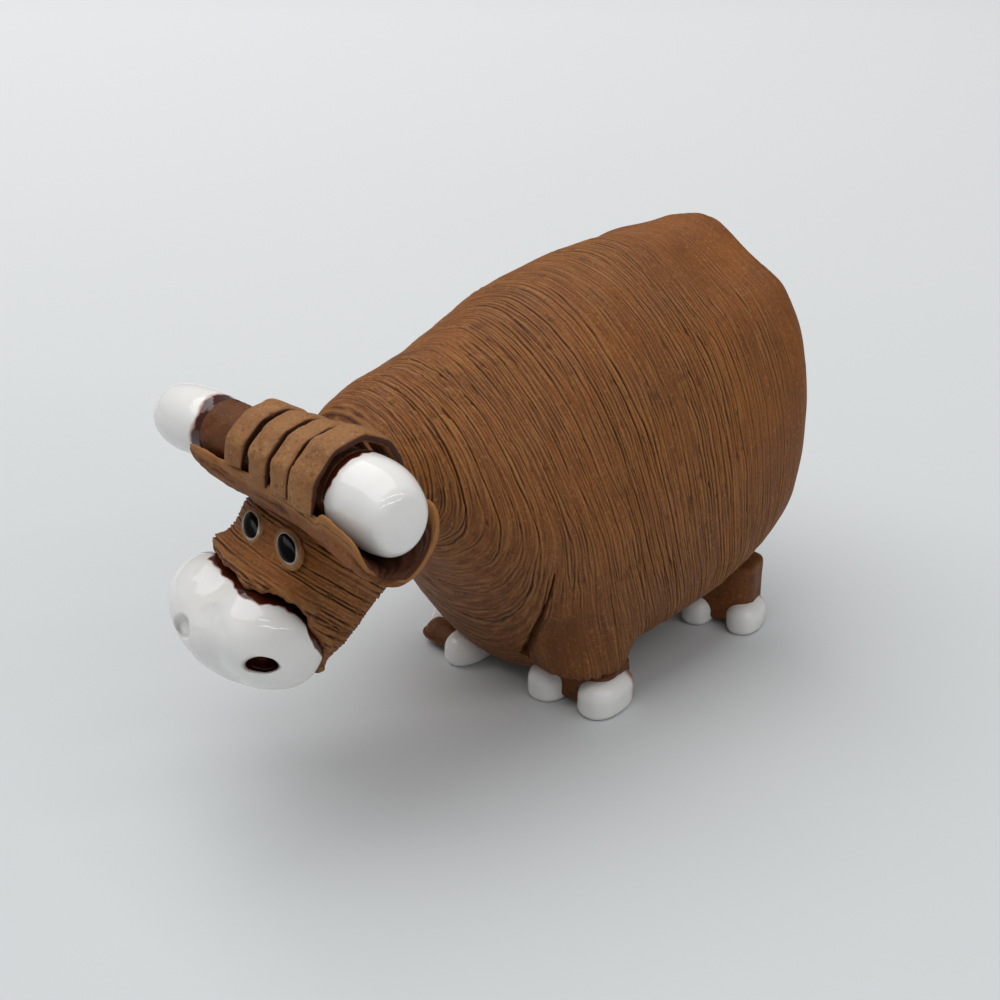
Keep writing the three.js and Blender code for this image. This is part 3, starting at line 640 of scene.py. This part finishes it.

# %% [markdown]
# ## The muzzle
# A fat cushion of clay across the nose, dipped in white glaze, with two nostrils pressed in by a stick.
# The glaze did not run into the near nostril, so its inside stays bare clay, painted near black-brown as
# painted shade in the hole, and it lies over the far one, which is a shallow dent. We thread the rings on a
# line from cheek to cheek, because the cushion is nearly round across that line, and press the nostrils in
# afterwards the way the stick went.

# %% The muzzle's rings and nostrils
# x, middle y, middle z, half y, half z
MUZZLE = [
    [-13.5, -8.2, 3.4, 1.2, 1.5], [-13, -8.3, 3.4, 3, 3.7], [-11.8, -8.6, 3.5, 5.2, 6],
    [-7.5, -9.2, 3.4, 7, 7.8], [-1, -9.8, 2.3, 7.8, 8.6], [5, -8.9, 2.3, 7.3, 8.6],
    [8.8, -8.8, 2.5, 5.9, 7.4], [10.9, -8.7, 2.3, 4.3, 5.5], [11.9, -8.5, 2, 2.6, 3.4],
    [12.3, -8.5, 2, 1.1, 1.5],
]
# Middle of each nostril on the glaze, the way the stick went in, and its two half widths across that way
NOSTRILS = [((11.0, -12.0, 5.9), (2.5, 1.25)), ((-3.5, -14.3, 9.6), (1.5, 1.7))]
STICK = np.array([[0.5875, 0.541, -0.601], [-0.354, 0.839, 0.410], [-0.727, 0.028, -0.685]])
# The low valley between the cushion's two lobes, running down over its front
VALLEY = [(1.0, -8.7, 10.9), (3.1, -12.0, 10.4), (3.5, -14.8, 8.6), (3.5, -16.2, 5.4), (3.3, -17.0, 1.5)]
across_share = -np.cos(np.linspace(0, np.pi, 200))
x = -0.6 + 12.9 * across_share
mid_y, mid_z, half_y, half_z = smooth(MUZZLE, x)
m_angle = even_angles(190, 1, 1.1, 2.3)
unit_y, unit_z = squared(m_angle[None], 2.3)
muzzle = np.stack([x[:, None] + 0 * unit_y, mid_y[:, None] + unit_y * half_y[:, None],
                   mid_z[:, None] + unit_z * half_z[:, None]], -1)
muzzle = pushed(muzzle, 0.16 * noise(muzzle, 5, 41) + 0.05 * noise(muzzle, 1.6, 42) - 0.08)
muzzle = pushed(muzzle, np.minimum(scratched(muzzle, [(VALLEY, 3.2, 0.7)], 0 * muzzle[..., 0]), 0))
outward = normals_of(muzzle)
press = np.zeros(muzzle.shape[:2])
for centre, (half_u, half_v) in NOSTRILS:
    u, v, _ = np.moveaxis((muzzle - centre) @ STICK.T, -1, 0)
    d = np.hypot(u / half_u, v / half_v) + 0.1 * noise(muzzle, 1.5, 43)
    near = (outward @ STICK[2] < 0.15) & (np.linalg.norm(muzzle - centre, axis=-1) < 4.5)
    press = np.maximum(press, np.where(near, 1 - step(0.7, 1.1, d), 0))
# The glaze stops just inside the torn lip: `from_lip` is how far behind that line a point lies
level = (muzzle[..., 0] - SNOUT_SHIFT) / 11.5, muzzle[..., 2] / 9.6
turned = np.arctan2(*(np.sign(part) * np.abs(part) ** (SNOUT_SQUARENESS / 2) for part in level[::-1]))
from_lip = muzzle[..., 1] - np.interp(np.degrees(turned), *np.array(sorted(zip(degrees, lip_y))).T)
# The near nostril's inside is bare clay, painted very dark as painted shade in the hole
shaded_bare = 1.5 * step(0.25, 0.7, press) * step(0, 4, muzzle[..., 0])
muzzle = muzzle + STICK[2] * ((2.2 + 1.2 * step(0, 4, muzzle[..., 0])) * press)[..., None]
# Near the lip the glaze is painted thin and then very dark: thinning glaze, and painted shade in the gap
# under the lip
thin = 1.4 * step(-2.3, -1.5, from_lip + 0.3 * noise(muzzle, 1.5, 44)) + shaded_bare
piece("muzzle_glaze", muzzle, "white_glaze", white_glaze, ["muzzle"], snout_place, thin=thin)


# %% [markdown]
# ## The eyes
# A flattened pellet of white-glazed clay lies in a sunk oval, a smaller black one on it, and the clay
# pushed up by them makes a raised tan rim. The rim could be raised from the head's own mesh, but a closed
# tube laid round the white stays sharp and takes the tan of the rubbed clay.

# %% Eyes: white, pupil and rim
def dome(half_a, half_b, half_c, rise=0.0):
    """An oval pellet whose middle lies `rise` above the clay."""
    tilt = np.linspace(0.02, np.pi - 0.02, 28)
    round_ = np.linspace(0, 2 * np.pi, 48, endpoint=False)
    return np.stack([np.stack([half_a * np.sin(q) * np.cos(round_), half_b * np.sin(q) * np.sin(round_),
                               rise + half_c * np.cos(q) + 0 * round_], -1) for q in tilt])


def tube(line, radius, sides=14):
    """A closed loop of rings round a closed line; the line turns in x and y."""
    line = np.asarray(line)
    tangent = np.roll(line, -1, 0) - np.roll(line, 1, 0)
    tangent /= np.linalg.norm(tangent, axis=1, keepdims=True)
    side = np.cross(tangent, [0, 0, 1])
    up = np.cross(side, tangent)
    round_ = np.linspace(0, 2 * np.pi, sides, endpoint=False)
    radius = np.broadcast_to(radius, len(line))[:, None, None]
    return line[:, None] + radius * (side[:, None] * np.cos(round_)[None, :, None]
                                     + up[:, None] * np.sin(round_)[None, :, None])


# Middle of each eye and how far it leans out over the snout's rounded side, in degrees
EYES = {"right": ((-1.6, 3, 9.9), 0), "left": ((7.1, 3.4, 9.4), 12)}
EYE_TURN = -26
WHITE_SIZE, PUPIL_SIZE = (3.15, 1.75, 0.8), (2.55, 1.45, 0.7)  # half length, half width, half thickness
for name, (centre, lean) in EYES.items():
    eye_place = snout_place @ np.array(
        Matrix.Translation(centre) @ Matrix.Rotation(np.radians(EYE_TURN), 4, "Z")
        @ Matrix.Rotation(np.radians(lean), 4, "Y"))
    white = dome(*WHITE_SIZE, 0.3)
    from_middle = np.hypot(white[..., 0] / WHITE_SIZE[0], white[..., 1] / WHITE_SIZE[1])
    piece(f"eye_{name}_white", white, "white_glaze", rubbed_glaze, [f"eye_white_{name}"], eye_place,
          thin=0.2 + 0.5 * step(0.6, 0.95, from_middle))
    pupil = dome(*PUPIL_SIZE, 0.62)
    pupil = pupil + 0.06 * noise(pupil, 1.5, 53)[..., None] - [0, 0, 0.05]
    piece(f"eye_{name}_pupil", pupil, "black_glaze", black_glaze, [f"pupil_{name}"], eye_place,
          thin=np.zeros(pupil.shape[:2]))
    turn = np.linspace(0, 2 * np.pi, 72, endpoint=False)
    rim = np.stack([3.1 * np.cos(turn), 1.75 * np.sin(turn), 0.35 - 0.2 * np.sin(turn) ** 2], -1)
    rings = tube(rim, 0.36 + 0.1 * noise(rim, 1.5, 51))
    rings = np.concatenate([rings, rings[:1]])
    rings = rings + 0.1 * noise(rings, 0.8, 52)[..., None]
    rings[-1] = rings[0]
    piece(f"eye_{name}_rim", rings, "tan_clay", rubbed_stoneware, (), eye_place)

# %% [markdown]
# ## The horns
# One roll of clay runs right across the head. Its two ends are dipped in white glaze, and the bare middle
# shows between the curls. Rolling by hand leaves it slightly uneven. The dipped ends and the bare middle
# are three lengths cut from one table, so that they meet in a line, and the glaze fades to brown where a
# dipped end stops.

# %% The horn roll in three lengths
# x, y, z, radius, in the axes of the roll
HORN = [[-26.1, -2.3, 18.8, 0.9], [-24.6, -2.3, 18.9, 3.6], [-21, -2.3, 19, 4.9], [-16.5, -2.2, 19.3, 5],
        [-12.5, -2.2, 19.5, 4.7], [0, -2.2, 19.8, 4.7], [15, -2.2, 20.2, 5.4], [18.5, -2.2, 20.2, 6],
        [22.4, -2.2, 19.8, 6], [25.6, -2.3, 19.2, 5.1], [27, -2.4, 19, 3.9], [27.7, -2.4, 18.9, 1.8]]
CORE_FROM, CORE_TO = -11.6, 17.2
RIGHT_END, LEFT_END = HORN[0][0], HORN[-1][0]
SEAM = 0.2  # mm between the bare middle and a dipped end


def horn_rings(start, end, count, sides=96):
    x = start + (end - start) * (0.5 - 0.5 * np.cos(np.linspace(0, np.pi, count)))
    y, z, radius = smooth(HORN, x)
    round_ = np.linspace(0, 2 * np.pi, sides, endpoint=False)
    return np.stack([x[:, None] + 0 * round_, y[:, None] + radius[:, None] * np.cos(round_),
                     z[:, None] + radius[:, None] * np.sin(round_)], -1)


for name, start, end, fade in (("left", CORE_TO + SEAM, LEFT_END, 1.0),
                               ("right", RIGHT_END, CORE_FROM - SEAM, 2.4)):
    rings = horn_rings(start, end, 110)
    away = np.abs(rings[..., 0] - (start if name == "left" else end))
    rings = pushed(rings, 0.14 * noise(rings, 5, 71) - 0.06)
    ragged_edge = away + 0.9 * noise(rings, 3, 74) + 0.4 * noise(rings, 1, 75)
    # Where a dip stops, the glaze thins to pink and then to the dark bare colour, which is partly painted
    # shade
    thin = 1.4 * step(1.0, 0.0, ragged_edge / fade - 0.35)
    piece(f"horn_{name}_glaze", rings, "white_glaze", white_glaze, [f"horn_tip_{name}"], horn_place,
          thin=thin)
core = horn_rings(CORE_FROM, CORE_TO, 90)
core = pushed(core, 0.2 * noise(core, 2, 72) + 0.1 * noise(core, 0.8, 73))
# The whole bare middle is painted dark with the furrow colour, as painted shade where it shows between the
# curls
piece("horn_core_clay", core, "combed_clay", combed_stoneware, ["horn_core"], horn_place,
      furrow=0.6 + 0 * core[..., 0])

# %% [markdown]
# ## The forelock
# Four strips bent over the roll. Each was pinched into flats as it was pressed down, and dry clay crumbled
# at its corners, so the strip is pitted and its bevels are chipped. A bent box with bevels would look
# machined. Here one oval section is carried round the roll, its distance from the roll steps through six
# soft flats, and noise does the chipping.

# %% Curls
RINGS_PER_CURL = 170
CURL_THICK, CURL_FACETS, CURL_SQUARENESS = 1.8, 6, 2.7
CURL_END = 205  # degrees
# x of each strip's middle, its half width, and the angle where it starts, 0 in front and 90 on top
CURLS = [(-1.3, 2.25, -1), (4.4, 2.2, -9), (9.5, 2.0, -9), (15.2, 2.7, -8)]


def curl_rings(middle, half, start):
    y, z, radius = smooth(HORN, np.array([middle - half, middle, middle + half]))
    turn = np.radians(np.linspace(start, CURL_END, RINGS_PER_CURL))
    facet = (turn[-1] - turn[0]) / CURL_FACETS
    within = (turn - turn[0]) % facet - facet / 2
    flat = (np.cos(facet / 2) / np.cos(np.clip(np.abs(within), 0, 0.8 * facet / 2))) ** 0.8
    inner = (radius.max() + 0.6) / np.cos(facet / 2)
    u, v = squared(even_angles(72, half, CURL_THICK / 2, CURL_SQUARENESS), CURL_SQUARENESS)
    fade = np.sqrt(np.clip(1 - np.abs(np.linspace(-1, 1, RINGS_PER_CURL)) ** 12, 0.02, 1))[:, None]
    r = (inner + CURL_THICK / 2 + v[None] * CURL_THICK / 2 * fade) * flat[:, None]
    rings = np.stack([middle + u[None] * half * (0.8 + 0.2 * fade) + 0 * r,
                      y[1] - r * np.cos(turn)[:, None], z[1] + r * np.sin(turn)[:, None]], -1)
    return rings, u[None] + 0 * r


for index, strip in enumerate(CURLS):
    rings, side = curl_rings(*strip)
    lumps = 0.22 * noise(rings, 3, 80 + index) + 0.08 * noise(rings, 1.0, 90 + index) - 0.1
    pits = step(0.6, 0.9, noise(rings, 0.8, 100 + index))
    rings = pushed(rings, lumps - 0.14 * pits)
    # Painted shade on the strip's two sides and in its pits, and a painted highlight on its raised lumps
    shaded = step(0.88, 0.97, side) + 0.6 * step(-0.9, -0.98, side)  # the strip's two dark sides
    piece(f"curl_{index + 1}", rings, "tan_clay", rubbed_stoneware, [f"forelock_curl_{index + 1}"],
          horn_place, furrow=np.clip(0.4 * pits + shaded, 0, 1),
          burr=np.clip(lumps / 0.15, 0, 1) * step(0.9, 0.8, np.abs(side)))

# %% [markdown]
# ## The ears
# One leaf of clay is cupped under the roll, and its two ends stick out as ears. The comb was drawn along
# it, and its rim was left thin and uneven. Its rim is painted lighter, as a painted highlight, and the inside
# of the cup and the comb's grooves darker, as painted shade. A sheet with a thickness modifier would have one
# thickness all over, so each ring here is a thin bent section: inside, over one rim, back along the outside,
# and over the other rim.

# %% The leaf
# x, radius about the roll, angle of the front rim, angle of the back rim, half thickness
EARS = [[-12.6, 5.6, 82, 56, 0.3], [-10.8, 5.7, 82, 8, 0.5], [-7, 5.8, 80, -24, 0.7],
        [0, 5.95, 77, -48, 0.85], [12, 6.6, 76, -55, 1], [17.8, 7.35, 75, -63, 1],
        [19.6, 7.6, 84, -66, 1], [22, 7.7, 84, -72, 1], [24.2, 7.7, 84, -73, 0.95],
        [25.6, 7.7, 83, -60, 0.85], [26.8, 7.7, 77, -28, 0.7], [27.7, 7.7, 62, 2, 0.45]]
LEAF_MIDDLE, LEAF_HALF = 7.55, 20.15
x = LEAF_MIDDLE - LEAF_HALF * np.cos(np.linspace(0, np.pi, 200))
radius, front, back, thick = smooth(EARS, x)
y, z = smooth(HORN, x)[:2]
rim = np.linspace(-0.5 * np.pi, 0.5 * np.pi, 11)
# Round one section: how far from the front rim to the back one, inside or outside, and the rims' bulge
share = np.concatenate([np.linspace(0, 1, 60), 1 + 0 * rim, np.linspace(1, 0, 60), 0 * rim])
out = np.concatenate([np.full(60, -1.0), np.sin(rim), np.full(60, 1.0), -np.sin(rim)])
bulge = np.concatenate([np.zeros(60), np.cos(rim), np.zeros(60), -np.cos(rim)])
turn = np.radians(front[:, None] + (back - front)[:, None] * share[None])
turn = turn - bulge[None] * (thick / radius)[:, None]
edge = np.minimum(share, 1 - share)[None] + 0 * turn
r = radius[:, None] + thick[:, None] * out[None] * (0.45 + 0.55 * step(0.0, 0.16, edge))
leaf = np.stack([x[:, None] + 0 * r, y[:, None] - r * np.sin(turn), z[:, None] - r * np.cos(turn)], -1)
lengthways = np.stack([0.12 * leaf[..., 0], share[None] * 18 + 0 * r, 0 * r + np.sign(out)[None] * 3], -1)
lines = noise(lengthways, 0.55, 61)
grooves = -0.24 * step(0.1, 0.6, lines) + 0.08 * step(0.0, -0.5, lines)
height = 0.2 * noise(leaf, 3, 62) + 0.09 * noise(leaf, 1, 63) + grooves * step(0.0, 0.06, edge)
leaf = pushed(leaf, height * step(0, 1.2, x - x[0])[:, None] * step(0, 1.2, x[-1] - x)[:, None])
# Painted shade inside the cup and in the grooves, and a painted highlight on the rim
inside = step(0.2, -0.6, out[None] + 0 * r)
piece("ear_leaf", leaf, "tan_clay", combed_stoneware, ["ears"], horn_place,
      furrow=np.clip(0.8 * step(0.1, 0.7, lines) + 0.8 * inside, 0, 1) * step(0.0, 0.06, edge),
      burr=1.5 * step(0.06, 0.0, edge))

# %% [markdown]
# ## Tail
# The photograph does not show it. Such figures have a short roll laid down the rump with a tuft pressed at
# its end, combed lengthways. A table of rings from top to tuft is enough, and a noise stretched along the
# tail cuts the tuft's strands.

# %% The tail's rings
# z, x, y, radius
TAIL = [[29, 2.3, 53.3, 0.8], [31, 2.2, 53.5, 2.2], [35, 2, 53.6, 2.7], [39, 1.6, 53, 2],
        [42, 1.3, 52.6, 1.6], [50, 0.5, 52.5, 1.6], [57, 0, 52.6, 1.7], [58.4, 0, 52.4, 1]]
TAIL_MIDDLE, TAIL_HALF = 43.7, 14.7
z = TAIL_MIDDLE - TAIL_HALF * np.cos(np.linspace(0, np.pi, 150))
x, y, radius = smooth(TAIL, z)
round_ = np.linspace(0, 2 * np.pi, 72, endpoint=False)
tail = np.stack([x[:, None] + radius[:, None] * np.cos(round_),
                 y[:, None] + radius[:, None] * np.sin(round_), z[:, None] + 0 * round_], -1)
hair = noise(np.stack([round_[None] * 2.6 + 0.05 * z[:, None], 0.05 * z[:, None] + 0 * round_,
                       0 * z[:, None] + 0 * round_], -1), 0.6, 120)
tuft = step(43, 36, z)[:, None]
marks = -0.3 * step(0.05, 0.6, hair) * tuft
tail = pushed(tail, marks + 0.1 * noise(tail, 2, 121) - 0.08)
# Painted shade in the grooves between the strands, and a painted highlight on the strands
piece("tail_clay", tail, "combed_clay", combed_stoneware, ["tail"], furrow=np.clip(-marks / 0.2, 0, 1),
      burr=0.6 * tuft * (hair < -0.1))


# %% [markdown]
# ## The feet
# Each foot is a pad of clay with two white toes, which are what the cow stands on. The toes are pellets
# pressed on the pad: domed on top, flat below, with the glaze thin where it meets the clay. A sphere that
# was flattened would touch the shelf at one point. One function makes pads and toes as pebbles with a flat
# sole, a rolled lower edge, a wall and a domed top.

# %% Pads and toes
def pebble(half_x, half_y, height, power, round_bottom, round_top, sides=96):
    """A pellet with a flat sole at z 0; `power` says how square it is seen from above."""
    profile = [(f, 0.0) for f in np.linspace(0.03, 1, 10)[:-1]]
    angles = np.linspace(0, np.pi / 2, 9)
    lower = [(round_bottom * (1 - np.sin(a)), round_bottom * (1 - np.cos(a))) for a in angles]
    upper = [(round_top * (1 - np.cos(a)), height - round_top * (1 - np.sin(a)))
             for a in np.linspace(0, np.pi / 2 * 0.97, 22)]
    wall = [(0, z) for z in np.linspace(lower[-1][1], upper[0][1], 8)[1:-1]]
    turn = even_angles(sides, half_x, half_y, power)
    u, v = squared(turn, power)
    rings = []
    base_x, base_y = half_x - round_bottom, half_y - round_bottom
    for f, z in profile:
        rings.append(np.stack([u * base_x * f, v * base_y * f, 0 * u + z], -1))
    for inset, z in lower + wall + upper:
        rings.append(np.stack([u * (half_x - inset), v * (half_y - inset), 0 * u + z], -1))
    top_x, top_y, top_z = half_x - upper[-1][0], half_y - upper[-1][0], upper[-1][1]
    for f in np.linspace(0.9, 0.05, 14):
        rise = (height - top_z + 0.05) * (1 - f * f)
        rings.append(np.stack([u * top_x * f, v * top_y * f, 0 * u + top_z + rise], -1))
    return np.array(rings)


# x, y, top z, splay in degrees, size, radius of the pad's slumped upper edge, lag of the outer toe
FEET = {"front_left": (14.8, 7, 6.7, 8, 1, 1, 0), "front_right": (-10.8, 4.2, 4.1, 0, 0.9, 2.6, 5.5),
        "rear_left": (16, 42.2, 11.5, 18, 0.86, 1, 0), "rear_right": (-16, 42.2, 11.5, -18, 0.86, 1, 0)}
for seed, (name, (fx, fy, top, splay, size, slump, lag)) in enumerate(FEET.items()):
    place = np.array(Matrix.Translation((fx, fy, 0)) @ Matrix.Rotation(np.radians(splay), 4, "Z"))
    pad = pebble(6.4 * size, 5.2 * size, top - 0.8, 3.4, 1, slump) + [0, 0, 0.8]
    rough = 0.14 * noise(pad, 3, 130 + seed) + 0.1 * noise(pad, 1.1, 140 + seed)
    pad = pushed(pad, rough - 0.15)
    lines = step(0.2, 0.7, noise(pad * [0.35, 0.35, 1.6], 0.9, 150 + seed))
    piece(f"pad_{name}", pad, "combed_clay", combed_stoneware, [f"foot_{name}"], place, furrow=0.5 * lines)
    for k in (-1, 1):
        outer = k * fx > 0
        which = "outer" if outer else "inner"
        toe = pebble(3.6 * size, 5.6 * size, 5.6 * size, 2.4, 1.1, 2.6)
        lift = step(0.0, 0.6, toe[..., 2])
        toe = pushed(toe, (0.12 * noise(toe + k * 9, 3.2, 160 + seed) - 0.08) * lift)
        toe[..., 2] = np.maximum(toe[..., 2], 0)
        back_edge = step(1.2, 4.6, toe[..., 1] / size)
        toe = toe + [k * 4.7 * size, (lag if outer else 0) - 2 * size, 0]
        # The toe's back, where it meets the pad, is painted thin and darker: thin glaze, and painted shade
        # under the pad
        piece(f"toe_{name}_{which}_glaze", toe, "white_glaze", white_glaze, [f"toe_{name}_{which}"], place,
              thin=0.9 * back_edge)

# %% [markdown]
# ## Room, lights and camera
# The figurine stands on a pale seamless surface that grows lighter behind it, up to near white. That
# brightening is painted light: we paint it into the floor's own colour, and leave the lamps as they are, so
# that the animal keeps its plain light.

# %% Floor
material, tree = fresh_material("pale_surface")
place = add(tree, "ShaderNodeTexCoord").outputs["Object"]
grain = add(tree, "ShaderNodeTexNoise", {}, {"Vector": place, "Scale": 6.0, "Detail": 3.0}).outputs["Fac"]
colour = add(tree, "ShaderNodeMix", {"data_type": "RGBA"},
             {MIX_FACTOR: grain, MIX_A: linear("#cdd1d2"), MIX_B: linear("#d4d7d8")}).outputs[MIX_RESULT]
VIEW_FROM = 43  # degrees round the figurine from its front; the fade runs the same way over the floor
turned = add(tree, "ShaderNodeMapping", {}, {"Vector": place, "Rotation": (0, 0, np.radians(-VIEW_FROM))})
ahead = add(tree, "ShaderNodeSeparateXYZ", {}, {"Vector": turned.outputs["Vector"]}).outputs["Y"]
# Painted light: the floor is painted lighter away from the camera, up to near white
far = add(tree, "ShaderNodeMapRange", {"clamp": True}, {"Value": ahead, "From Min": -0.05, "From Max": 0.5})
colour = add(tree, "ShaderNodeMix", {"data_type": "RGBA"},
             {MIX_FACTOR: far.outputs["Result"], MIX_A: colour, MIX_B: linear("#fafbfb")})
finished(tree, {"Base Color": colour.outputs[MIX_RESULT], "Roughness": 0.6})
mesh = bpy.data.meshes.new("surface")
mesh.from_pydata([(-3, -3, 0), (3, -3, 0), (3, 3, 0), (-3, 3, 0)], [], [(0, 1, 2, 3)])
mesh.materials.append(material)
surface = bpy.data.objects.new("surface", mesh)
bpy.context.scene.collection.objects.link(surface)
print("floor:", material.name)

# %% [markdown]
# ### Lamps
# Two long narrow lamps hang up on the animal's left and give the glaze its paired streaks, as tube lamps
# in a workshop do. A wide soft one overhead does most of the lighting, and a faint blue-white sky fills the
# shadows. A mirror-smooth glaze shows every lamp, so their shapes matter more than their power.


# %% Lamps and sky
def lamp(name, at, towards, long_way, size, power):
    """An area lamp; `long_way` is the direction of its second size."""
    data = bpy.data.lights.new(name, "AREA")
    data.shape, data.size, data.size_y = "RECTANGLE", *size
    data.energy = power
    z = (Vector(at) - Vector(towards)).normalized()
    y = (Vector(long_way) - z * Vector(long_way).dot(z)).normalized()
    turn = Matrix((y.cross(z), y, z)).transposed().to_4x4()
    obj = bpy.data.objects.new(name, data)
    obj.matrix_world = Matrix.Translation(at) @ turn
    bpy.context.scene.collection.objects.link(obj)
    print(f"lamp {name}: {size[0]} by {size[1]} m, {power} W")
    return y.cross(z)


lamp("overhead", (-0.35, -0.1, 1.1), (-0.1, 0.0, 0), (0, 1, 0), (1.5, 1.5), 14)
STRIP_AT, STRIP_WAY = Vector((0.3, 0.0, 0.43)), (0.35, 0.9, -0.25)
STRIP_SIZE, STRIP_POWER, STRIPS_APART = (0.025, 0.6), 0.32, 0.17
beside = lamp("strip_near", STRIP_AT, (0, 0, 0.04), STRIP_WAY, STRIP_SIZE, STRIP_POWER)
lamp("strip_far", STRIP_AT + STRIPS_APART * beside, (0, 0, 0.04), STRIP_WAY, STRIP_SIZE, STRIP_POWER)
world = bpy.data.worlds.new("pale_room")
world.use_nodes = True
world.node_tree.nodes["Background"].inputs["Color"].default_value = (0.95, 0.97, 1, 1)
world.node_tree.nodes["Background"].inputs["Strength"].default_value = 0.22
bpy.context.scene.world = world

# %% [markdown]
# ### Camera
# The photograph looks down on the animal from the front and its left. We put the camera on a line from a
# point in the middle of the body, which makes each of its three numbers easy to tell from the others: the
# two angles and the distance. A short distance gives the near toes and the muzzle their size.

# %% Camera
AZIMUTH, ELEVATION, DISTANCE = np.radians(VIEW_FROM), np.radians(26), 0.3
TARGET = Vector((0.0020, 0.00023, 0.032))
back = Vector((np.sin(AZIMUTH) * np.cos(ELEVATION), -np.cos(AZIMUTH) * np.cos(ELEVATION),
               np.sin(ELEVATION)))
data = bpy.data.cameras.new("camera")
data.lens, data.sensor_width = 69.66, 36
data.clip_start = 0.01
camera = bpy.data.objects.new("camera", data)
camera.location = TARGET + back * DISTANCE
camera.rotation_euler = back.to_track_quat("Z", "Y").to_euler()
bpy.context.scene.collection.objects.link(camera)
bpy.context.scene.camera = camera
bpy.context.scene.view_settings.view_transform = "Standard"
print("camera at", camera.location)
